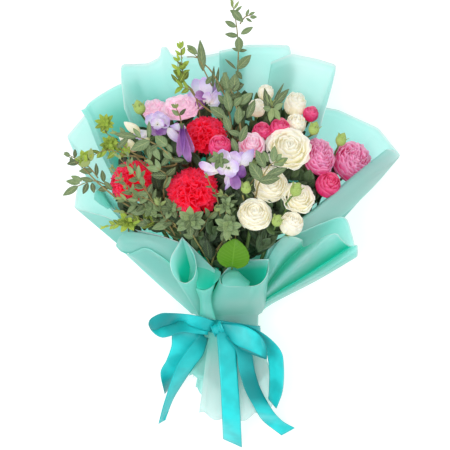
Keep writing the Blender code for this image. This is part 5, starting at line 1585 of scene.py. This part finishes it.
# The side sheet's edge rolled over towards the front at the right, from its outer line to its inner one
RIGHT_ROLL = [
    [(297, 239, 99), (338.5, 218, 85), (371, 189.5, 81), (399, 157.5, 84)],
    [(294, 235, 105), (332, 214, 103), (366, 184, 104.5), (398, 154.5, 91)],
    [(292, 231, 110), (325, 210, 111.5), (359, 181, 112.5), (395, 151.5, 94.5)],
    [(290, 227, 110.5), (319, 207, 112), (352, 179.5, 111), (390.5, 149.5, 92)],
    [(291, 226, 102), (317, 206, 101), (348, 180, 98), (386, 149.5, 84)],
]
# Painted light: the roll is painted paler than the film's body
RIGHT_ROLL_PAINTED_LIGHT = [-0.4, -0.5, -0.5, -0.4, 0.0]
# The band folded over at the front left, and the panel that runs from it to the waist
LEFT_BAND = [
    [(116, 246, 84), (118, 240, 92), (121, 235, 96)],
    [(122, 252, 88), (122, 242, 104), (127, 232, 102)],
    [(132, 253, 92), (133, 243, 108), (137, 232.5, 104)],
    [(144, 249, 96), (146, 242, 108), (148, 234.5, 105)],
    [(156, 254, 98), (158, 246, 108), (160, 237, 106)],
    [(168, 263, 98), (170, 252, 106), (172, 240, 107)],
    [(178, 272, 96), (181, 258, 104), (184, 243, 108)],
]
LEFT_PANEL = [
    [(116, 244, 70), (130, 258, 58), (158, 284, 52), (192, 314, 48)],
    [(118, 248, 86), (133, 258, 74), (162, 283, 60), (194, 314, 52)],
    [(128, 254, 94), (142, 262, 82), (167, 284, 66), (196, 315, 54)],
    [(144.5, 248, 102), (153, 259, 90), (174, 284, 70), (198, 316, 56)],
    [(156, 253, 104), (164, 264, 90), (180, 286, 72), (200, 317, 58)],
    [(169, 262, 104), (174, 272, 92), (186, 290, 74), (202, 318, 60)],
    [(175, 268, 102), (181, 280, 90), (191, 296, 76), (204, 318, 62)],
]
# Painted shade on the panel's lines nearest the roll
LEFT_PANEL_PAINTED_SHADE = [0, 0, 0, 0.1, 0.2, 0.5, 0.6]
# A small curl in the left flap's top edge
LEFT_CURL = [
    [(108, 209, 82), (100, 204, 76), (94, 199, 72)],
    [(109, 208, 86), (102, 201, 86), (95, 192, 80)],
    [(111, 207, 86), (105, 198, 88), (99, 190, 82)],
    [(113, 208, 82), (109, 200, 80), (105, 193, 76)],
    [(115, 210, 78), (111, 204, 74), (106, 200, 70)],
]
# Painted shade inside the curl
LEFT_CURL_PAINTED_SHADE = [0, 0.35, 0.45, 0.2, 0]
# Pieces of folded film: for each patch its points, its painted shade and how far that fades towards the rim
FOLD_PIECES = {
    "film_left_inner": [(LEFT_INNER, LEFT_INNER_PAINTED_LIGHT_SHADE, 0.85)],
    "film_right_roll": [(RIGHT_ROLL, RIGHT_ROLL_PAINTED_LIGHT, 0.0)],
    "film_left_folds": [(LEFT_BAND, None, 0.0), (LEFT_PANEL, LEFT_PANEL_PAINTED_SHADE, 0.0),
                        (LEFT_CURL, LEFT_CURL_PAINTED_SHADE, 0.0)],
}


def build_film_folds():
    """The folds laid over the sheets at the left and the right."""
    for name, patches in FOLD_PIECES.items():
        skin = Skin()
        for lines, painted_light_shade, fade in patches:
            add_patch(skin, lines, painted_line_shades=painted_light_shade, fade=fade)
        skin.make(name, ["film_mint"], FILM_SKIN, (), "film_mint")


# Front centre: lip points of the two cups, left to right, then the back edge, right to left
LIP = [(220, 278, 112), (221, 283, 118), (226, 286, 124), (236, 286.5, 126), (246, 286, 122), (252, 286, 118),
       (257, 285, 122), (263, 281, 124), (268, 272, 120), (269, 261, 112)]
BACK_EDGE = [(269, 259, 108), (256, 259.5, 102), (243, 260.5, 98), (232, 265, 98), (225, 271, 98),
             (220, 277, 100)]
CURL_LIP = [
    [(223, 286, 124), (222, 280, 118), (225, 273.5, 106)],
    [(230, 286.5, 127), (229, 279, 126), (231, 271, 110)],
    [(237, 286.5, 127), (237, 279, 128), (238, 271.5, 112)],
    [(243, 286.5, 124), (243, 281, 122), (243, 276, 110)],
    [(249, 286.5, 120), (249.5, 284, 116), (250, 282, 106)],
]


# The piece of film between the roll and the front panel, and the deep fold above it
MID_HOLLOW = [
    [(197, 288, 114), (196, 276, 110), (198, 264, 104)],
    [(203, 290, 116), (205, 277, 108), (207, 266, 103)],
    [(211, 287, 116), (214, 277, 106), (215, 268, 102)],
    [(219, 279, 110), (220.5, 276, 107), (221, 272, 104)],
]
MID_PIECE = [
    [(195.5, 288, 116), (200, 301, 100), (200, 318, 68)],
    [(204, 290.5, 121), (204.5, 302, 106), (206, 318, 72)],
    [(211, 287.5, 120), (209, 300, 104), (211, 319, 72)],
    [(215, 284, 112), (211, 299, 98), (216, 320, 68)],
]
FRONT_PANEL = {"layer": 6, "skirt": 117, "rim": [(60, 47, -48, 100), (130, -24, -96, 90)]}
# The angles round the waist between which the panel stands, and how far it swells sideways, out and in
FRONT_START, FRONT_END = 130, 18
SIDE_SWELL, FRONT_SWELL, BACK_SAG = 13.0, 7.0, 10.0


def build_front_centre():
    """The front panel: a flattened cone of film whose open top makes two cups. Gives back its surface."""
    lip = [spot(*point) for point in LIP]
    back = [spot(*point) for point in BACK_EDGE]
    span = FRONT_START - FRONT_END
    places = even_shares(80)
    levels = np.linspace(0.0, 1.0, 24)
    skirt_levels = np.linspace(-1.0, -0.0001, SKIRT_ROWS)

    def skirt_point(s, share):
        return film_point(FRONT_PANEL, FRONT_START - span * share, s)

    def front_point(s, share):
        point = skirt_point(0.0, share).lerp(smooth_point(lip, share), s)
        point.x += SIDE_SWELL * math.sin(math.pi * s ** 0.45) * (share - 0.5)
        point.z += FRONT_SWELL * math.sin(math.pi * s) * math.sin(math.pi * share) ** 0.5
        return point

    def back_point(s, share):
        foot = film_point(FRONT_PANEL, FRONT_END + span * share, 0.0) + Vector((0, 0, -0.8))
        point = foot.lerp(smooth_point(back, share), s)
        point.z -= BACK_SAG * math.sin(math.pi * s) * math.sin(math.pi * share)
        return point

    skin = Skin()
    grid = np.concatenate([lay_grid(skirt_levels, places, skirt_point),
                           lay_grid(levels, places, front_point)])
    along = np.concatenate([np.zeros(len(skirt_levels)), levels])[:, None]
    # Painted shade along the panel's left edge, and painted light on the skirt towards its end
    fold = 0.5 + 0.35 * np.clip(1 - np.array(places)[None, :] / 0.12, 0, 1) * np.ones((len(levels), 1))
    pale = 0.5 - 0.4 * np.clip(-skirt_levels / 0.5, 0, 1)[:, None] * np.ones((1, len(places)))
    skin.add(grid, along, 0.5, np.concatenate([pale, fold]))
    # Painted shade in the hollow, at the middle piece's edges, on the back wall below its edge and inside the
    # curled lip
    add_patch(skin, MID_HOLLOW, 12, 24, [0.8, 1.0, 1.0, 0.6], 0.4)
    add_patch(skin, MID_PIECE, 20, 24, [0.5, 0.0, 0.1, 0.6])
    inner = 0.5 + 0.5 * np.clip((0.97 - levels) / 0.16, 0.0, 1.0)
    skin.add(lay_grid(levels, even_shares(40), back_point), levels[:, None], 0.5, inner[:, None])
    add_patch(skin, CURL_LIP, 12, 24, [0.15, 0.3, 0.35, 0.4, 0.5])
    skin.make("film_front_centre_sheet", ["film_mint"], FILM_SKIN, ["film_front_centre"], "film_mint")
    return BVHTree.FromPolygons(np.concatenate(skin.points).tolist(), np.concatenate(skin.faces).tolist())


# Roll at the front left: points round its open mouth, from its free edge and round
MOUTH = [(182, 237, 116), (176.5, 247, 117), (171, 257, 118), (170.5, 267, 119), (175.5, 278, 121),
         (185, 283, 123),
         (193.5, 277.5, 122), (196, 266, 120), (194, 254, 118), (188, 244, 117), (182.5, 237.5, 116)]
ROLL_FOOT = (203, 318, 62)
# The turn of film inside the roll, from the lower lip up to the tip
ROLL_INNER = [
    [(180, 282, 100), (174, 272, 103), (172.5, 262, 107), (175.5, 252, 111), (182, 240, 114.5)],
    [(183.5, 284, 94), (179, 273, 95), (178, 262, 99), (180, 252, 105), (182.3, 240, 113)],
    [(187, 284, 92), (185, 273, 91), (184, 262, 95), (184, 252, 102), (182.6, 240, 112)],
    [(191.5, 281, 94), (191, 272, 95), (190, 262, 99), (188, 252, 105), (183, 240, 113)],
    [(193, 278, 100), (195, 270, 104), (194.5, 262, 108), (191.5, 252, 112), (183.3, 240, 114.5)],
]
# Painted shade inside the roll, deepest in its middle lines
ROLL_INNER_PAINTED_SHADE = [0.2, 0.55, 0.65, 0.55, 0.2]
FLAG = [(183, 238, 119), (192, 247, 116), (203, 258, 110), (215, 270, 106)]


def build_roll():
    """The cone of rolled film with its teardrop mouth, and the panel that runs from its tip to the waist."""
    skin = Skin()
    mouth = [spot(*point) for point in MOUTH]
    flag = [spot(*point) for point in FLAG]
    foot = spot(*ROLL_FOOT)
    levels = np.linspace(0.0, 1.0, 22)
    places = even_shares(64)[:-1]

    def cone_point(s, share):
        turn = math.tau * share
        ring = foot + Vector((math.cos(turn + 2.0), math.sin(turn + 2.0) * 0.4, 0.7 * math.sin(turn))) * 4.0
        return ring.lerp(smooth_point(mouth, share), s)

    def flag_point(s, share):
        low_point = spot(203 + 7 * share, 319 + 2 * share, 64 + 3 * share)
        point = low_point.lerp(smooth_point(flag, share), s)
        point.z += 4.0 * math.sin(math.pi * s) * math.sin(math.pi * share)
        return point

    # Painted shade on the cone's far wall, deepening down from its mouth
    behind = np.clip(0.5 + 1.1 * np.cos(math.tau * np.array(places)), 0.0, 1.0)[None, :]
    inner = 0.5 + 0.5 * behind * np.clip((1.0 - levels) / 0.30, 0.0, 1.0)[:, None]
    skin.add(lay_grid(levels, places, cone_point), levels[:, None], 0.5, inner, ring=True)
    add_patch(skin, ROLL_INNER, 20, 20, ROLL_INNER_PAINTED_SHADE, 0.8)
    skin.add(lay_grid(levels, even_shares(24), flag_point), levels[:, None], 0.5)
    skin.make("film_roll_sheet", ["film_mint"], FILM_SKIN, ["film_roll"], "film_mint")


# Ribbon: its width, the gap that a tail keeps from the film, and how far a strip's middle stands up
RIBBON_WIDTH = 25.0
STRIP_GAP = 1.4
STRIP_CROWN = 1.2
# The strip that stands for the bow's solid
BOW_STRIP = "tail_centre"
# Each strip by the places of its left and right edges in the frame, its height and which edge is higher
STRIPS = {
    "tail_centre": [
        ((216, 330), (229, 330), 72, 0), ((217.5, 345), (236, 343), 73, 1),
        ((219, 366), (237, 364), 74, 1), ((220.5, 386), (238.5, 385), 74, 1),
        ((221.5, 406), (240, 406), 70, 1), ((222.3, 423), (241, 426), 52, 1),
        ((223, 439), (242, 447.5), 12, 1)],
    "tail_right": [
        ((226, 336), (240, 334), 69, 1), ((235.6, 350), (251, 350), 68, 1),
        ((239, 371), (255, 371), 64, 1), ((245.5, 391), (260.5, 388.5), 60, 1),
        ((253.5, 405.5), (270.5, 406.5), 44, 1), ((263, 420.5), (282, 420), 16, 1),
        ((281.5, 435.5), (295, 428), 4, 1)],
    "tail_outer": [
        ((222, 330), (223, 321.5), 72, -1), ((240, 333), (245, 324.5), 73, -1),
        ((258, 339.5), (265, 334.5), 68, -1), ((266, 351), (280.5, 350), 56, -1),
        ((268.8, 368), (283.6, 366), 40, -1), ((268.6, 384), (282.3, 388), 20, -1),
        ((267.6, 396.5), (275.6, 406), 6, -1)],
    "tail_left": [
        ((200, 335), (208.5, 338), 71, 1), ((188, 349), (203, 355), 68, 1),
        ((178, 364), (194, 367), 56, 1), ((170.5, 382), (182.5, 384), 36, 1),
        ((166.5, 395), (174, 398), 22, 1), ((162.5, 408), (169, 410), 12, 1),
        ((158.5, 424), (165.5, 420), 4, 1)],
    "tail_left_back": [
        ((194, 324), (205, 336), 66, 1), ((174, 331), (194, 343), 63, 1),
        ((171.4, 346), (190, 353), 53, 1), ((166.5, 360), (184, 365), 38, 1),
        ((160.5, 373), (177, 378), 22, 1), ((164.8, 394), (169, 389), 6, 1)],
    "loop_left": [
        ((214, 321.5), (211, 332), 71, 0.6), ((203, 317), (201, 330), 78, 0.7),
        ((190, 314.5), (190, 325.5), 84, 0.9), ((180, 313.5), (182, 321), 88, 0.9),
        ((170, 313), (171.5, 324.8), 90, 0.9), ((162, 313), (162.5, 327), 90, 0.8),
        ((154.5, 316), (156.5, 329.5), 88, 0.6), ((149.5, 320), (151, 329.5), 84, 0.5),
        ((148.6, 325.5), (150, 328.5), 79, 0.2), ((152, 326), (154, 333.5), 75, -0.2),
        ((160, 327), (161.5, 337.6), 72, -0.3), ((168, 324.6), (170.5, 336.2), 70, -0.5),
        ((178, 320.5), (182, 332.5), 69, -0.6), ((192, 321), (196, 334), 68, -0.5),
        ((208, 327), (208, 335), 67, 0)],
    "loop_right": [
        ((221, 324), (223, 334), 72, 0.4), ((232, 323.5), (235.6, 344.8), 80, 0.5),
        ((244, 325.5), (246.5, 349.5), 84, 0.6), ((255, 331), (256.5, 354), 85, 0.6),
        ((262.5, 338.5), (263, 357), 84, 0.5), ((267, 349), (266.8, 358.5), 82, 0.4),
        ((266, 351), (264.5, 359), 76, 0), ((257, 339), (253.5, 355), 74, -0.3),
        ((243, 331), (240, 349.5), 72, -0.3), ((228, 328), (227, 338), 69, 0)],
}


def strip_grid(edges):
    """A ribbon's grid between two edges, tilted so that it keeps its full width."""
    lefts = [Vector((*left, 0)) for left, right, height, tilt in edges]
    rights = [Vector((*right, 0)) for left, right, height, tilt in edges]
    heights = [Vector((height, tilt, 0)) for left, right, height, tilt in edges]

    def strip_point(share, over):
        left = smooth_point(lefts, share)
        right = smooth_point(rights, share)
        level = smooth_point(heights, share)
        seen = (right - left).length * PIXEL
        lean = math.sqrt(max(0.0, RIBBON_WIDTH ** 2 - seen ** 2)) / 2 * max(-1.0, min(1.0, level.y))
        place = left.lerp(right, over)
        rise = level.x + lean * (1 - 2 * over) + STRIP_CROWN * math.sin(math.pi * over)
        return spot(place.x, place.y, max(1.0, rise))

    return lay_grid(even_shares(40), even_shares(9), strip_point)


# Painted shade and sheen along each strip, from its first edge pair to its last: how deep each strip is
# painted
STRIP_PAINTED_SHADES = {
    "tail_centre": [0.75, 0.45, 0.40, 0.15, 0.25, 0.10, 0.0, 0.05, 0.0],
    "tail_right": [0.8, 0.65, 0.45, 0.85, 0.75, 0.15, 0.0, 0.1],
    "tail_outer": [0.9, 0.75, 0.2, 0.1, 0.15, 0.35, 0.4],
    "tail_left": [0.6, 0.35, 0.2, 0.15, 0.1, 0.15, 0.1],
    "tail_left_back": [0.6, 0.5, 0.15, 0.05, 0.3, 0.4],
    "loop_left": [0.5, 0.3, 0.05, 0.3, 0.85, 0.8, 0.75, 0.8, 0.8, 0.5, 0.45, 0.6, 0.7, 0.4, 0.3],
    "loop_right": [0.85, 0.55, 0.3, 0.2, 0.5, 0.9, 1.0, 1.0, 1.0, 1.0],
}


def satin_shade(tones, grid):
    """How deep satin is painted: painted shade and sheen along the strip, and painted shade where it turns
    away from the light.
    """
    down = np.gradient(grid, axis=0)
    side = np.gradient(grid, axis=1)
    normal = np.cross(down, side)
    normal /= np.maximum(np.linalg.norm(normal, axis=-1, keepdims=True), 1e-9)
    normal *= np.where(normal[..., 2:] < 0, -1.0, 1.0)
    lit = normal @ np.array([-0.35, 0.25, 0.90])
    tone = np.interp(np.linspace(0, len(tones) - 1, grid.shape[0]), range(len(tones)), tones)[:, None]
    return np.clip(tone + 0.3 * np.clip(0.85 - lit, 0.0, 1.0), 0.0, 1.0)


def laid_over(grid, film):
    """Lifts a strip off the film below it, taut over the film's folds."""
    lift = np.zeros(grid.shape[:2])
    for row, line in enumerate(grid):
        for column, (x, y, z) in enumerate(line):
            hit = film.ray_cast(Vector((x, y, 400.0)), Vector((0, 0, -1)))[0]
            if hit is not None:
                lift[row, column] = max(0.0, hit.z + STRIP_GAP - z)
    lift = lift.max(axis=1)
    taut = lift.copy()
    for _ in range(40):
        taut[1:-1] = np.maximum(lift[1:-1], (taut[:-2] + taut[2:]) / 2)
    laid = grid.copy()
    laid[..., 2] += taut[:, None]
    return laid


def add_strip(name, edges, film):
    """A strip of satin ribbon at the ribbon's full width: a loop stands free, a tail lies on the film."""
    loop = name.startswith("loop")
    grid = strip_grid(edges)
    if not loop:
        grid = laid_over(grid, film)
    skin = Skin()
    along = np.linspace(0, 1, grid.shape[0])[:, None]
    over = np.linspace(0, 1, grid.shape[1])[None, :]
    skin.add(grid, along, over, satin_shade(STRIP_PAINTED_SHADES[name], grid))
    nodes = ["ribbon_bow"] if name == BOW_STRIP else ()
    item = skin.make("ribbon_" + name, ["ribbon_turquoise"], RIBBON_SKIN, nodes, "ribbon_turquoise")


# The band: how far below the waist it starts, how much of its width shows, and how far it slants
BAND_START, BAND_SHOWN, BAND_SLANT = 13.5, 18.5, 7.0


def build_ribbon(film):
    """The band round the waist, the bow's loops and tails, and its gathered knot."""
    out = 6 * LAYER_PITCH + 1.5

    def band_point(over, share):
        turn = math.tau * share
        fold = 0.5 * math.sin(over * 19 + math.sin(3 * turn)) + 0.35 * math.sin(over * 31 + 5 * turn)
        return (WAIST_X + (FILM_HALF_WIDTH + out + fold * 0.5) * math.cos(turn),
                WAIST_Y - BAND_START + BAND_SHOWN * over - BAND_SLANT * math.cos(turn),
                WAIST_Z + (FILM_HALF_HEIGHT + out + fold * 0.5) * math.sin(turn))

    grid = lay_grid(even_shares(12), even_shares(120)[:-1], band_point)
    skin = Skin()
    skin.add(grid, 0.5, np.linspace(0, 1, len(grid))[:, None], ring=True)
    band = skin.make("ribbon_band_satin", ["ribbon_turquoise"], RIBBON_SKIN, ["ribbon_band"],
                     "ribbon_turquoise")
    for name, edges in STRIPS.items():
        add_strip(name, edges, film)
    build_knot()


KNOT_LEAN = 24


def build_knot():
    """The knot: a short gathered wrap of ribbon over the crossing of the loops."""
    middle = spot(217.5, 328.5, 68)
    lean = math.radians(KNOT_LEAN)

    def knot_point(over, share):
        turn = math.tau * share
        fold = 0.8 * math.sin(over * 17 + 2 * math.sin(turn)) + 0.5 * math.sin(over * 29)
        x = (over - 0.5) * 15
        y = (8.5 * (0.72 + 0.28 * abs(2 * over - 1) ** 1.5) + fold) * math.cos(turn)
        return (middle.x + x * math.cos(lean) - y * math.sin(lean),
                middle.y + x * math.sin(lean) + y * math.cos(lean),
                middle.z + 3 + (6.5 + fold) * math.sin(turn))

    grid = lay_grid(even_shares(16), even_shares(40)[:-1], knot_point)
    skin = Skin()
    skin.add(grid, 0.5, np.linspace(0, 1, len(grid))[:, None], ring=True)
    skin.make("ribbon_knot", ["ribbon_turquoise"], RIBBON_SKIN, (), "ribbon_turquoise")


TIE_TURNS, TIE_STEPS, TIE_WIDTH = 5, 40, 8.0


def build_tie():
    """The string under the film, wound in a close helix round the stems."""
    skin = Skin()
    path = []
    for step in range(TIE_TURNS * TIE_STEPS + 1):
        turn = math.tau * step / TIE_STEPS
        path.append(Vector((WAIST_X + (CORE_HALF_WIDTH + 1.2) * math.cos(turn),
                            WAIST_Y + TIE_WIDTH * (step / (TIE_TURNS * TIE_STEPS) - 0.5),
                            WAIST_Z + (CORE_HALF_HEIGHT + 1.2) * math.sin(turn))))
    add_stem(skin, path, [0.8] * len(path), 0.5, 0)
    skin.make("stem_tie_twine", ["tie_string"], 0, ["stem_tie"], "tie_string")


# Stage, lights and camera

def build_stage():
    """A plain pale floor, soft light and the camera above."""
    bpy.ops.mesh.primitive_plane_add(size=12, location=(0, 0, -0.0006))
    floor = bpy.context.object
    floor.name = "floor"
    material = bpy.data.materials.new("floor_pale")
    material.use_nodes = True
    shader = material.node_tree.nodes["Principled BSDF"]
    shader.inputs["Base Color"].default_value = (0.55, 0.55, 0.55, 1.0)
    shader.inputs["Roughness"].default_value = 0.9
    shader.inputs["Emission Color"].default_value = (1, 1, 1, 1)
    shader.inputs["Emission Strength"].default_value = 0.62
    floor.data.materials.append(material)
    world = bpy.data.worlds.new("studio")
    bpy.context.scene.world = world
    world.use_nodes = True
    world.node_tree.nodes["Background"].inputs[0].default_value = (1.0, 1.0, 1.0, 1.0)
    world.node_tree.nodes["Background"].inputs[1].default_value = 0.76
    for name, place, size, power in (("key", (-0.9, -0.1, 2.3), 1.3, 25.0),
                                     ("fill", (1.5, -0.8, 2.0), 2.2, 6.0)):
        light = bpy.data.lights.new(name, "AREA")
        light.size = size
        light.energy = power
        item = new_object(name, light)
        item.location = place
        item.rotation_euler = (-Vector(place)).to_track_quat("-Z", "Y").to_euler()
    camera = bpy.data.cameras.new("camera")
    camera.sensor_width = SENSOR
    camera.lens = SENSOR * (CAMERA_HEIGHT - FRAME_HEIGHT) / (FRAME_PIXELS * PIXEL)
    item = bpy.data.objects.new("camera", camera)
    bpy.context.scene.collection.objects.link(item)
    item.location = (Vector((VIEW_X, VIEW_Y, CAMERA_HEIGHT)) + SHIFT) * MM
    bpy.context.scene.camera = item
    bpy.context.scene.view_settings.view_transform = "Standard"


build_stage()
build_film()
build_film_folds()
front_film = build_front_centre()
build_roll()
build_ribbon(front_film)
build_tie()
build_blooms()
build_stems(build_sprigs())
build_fillers()
build_undergrowth()
build_round_leaf()
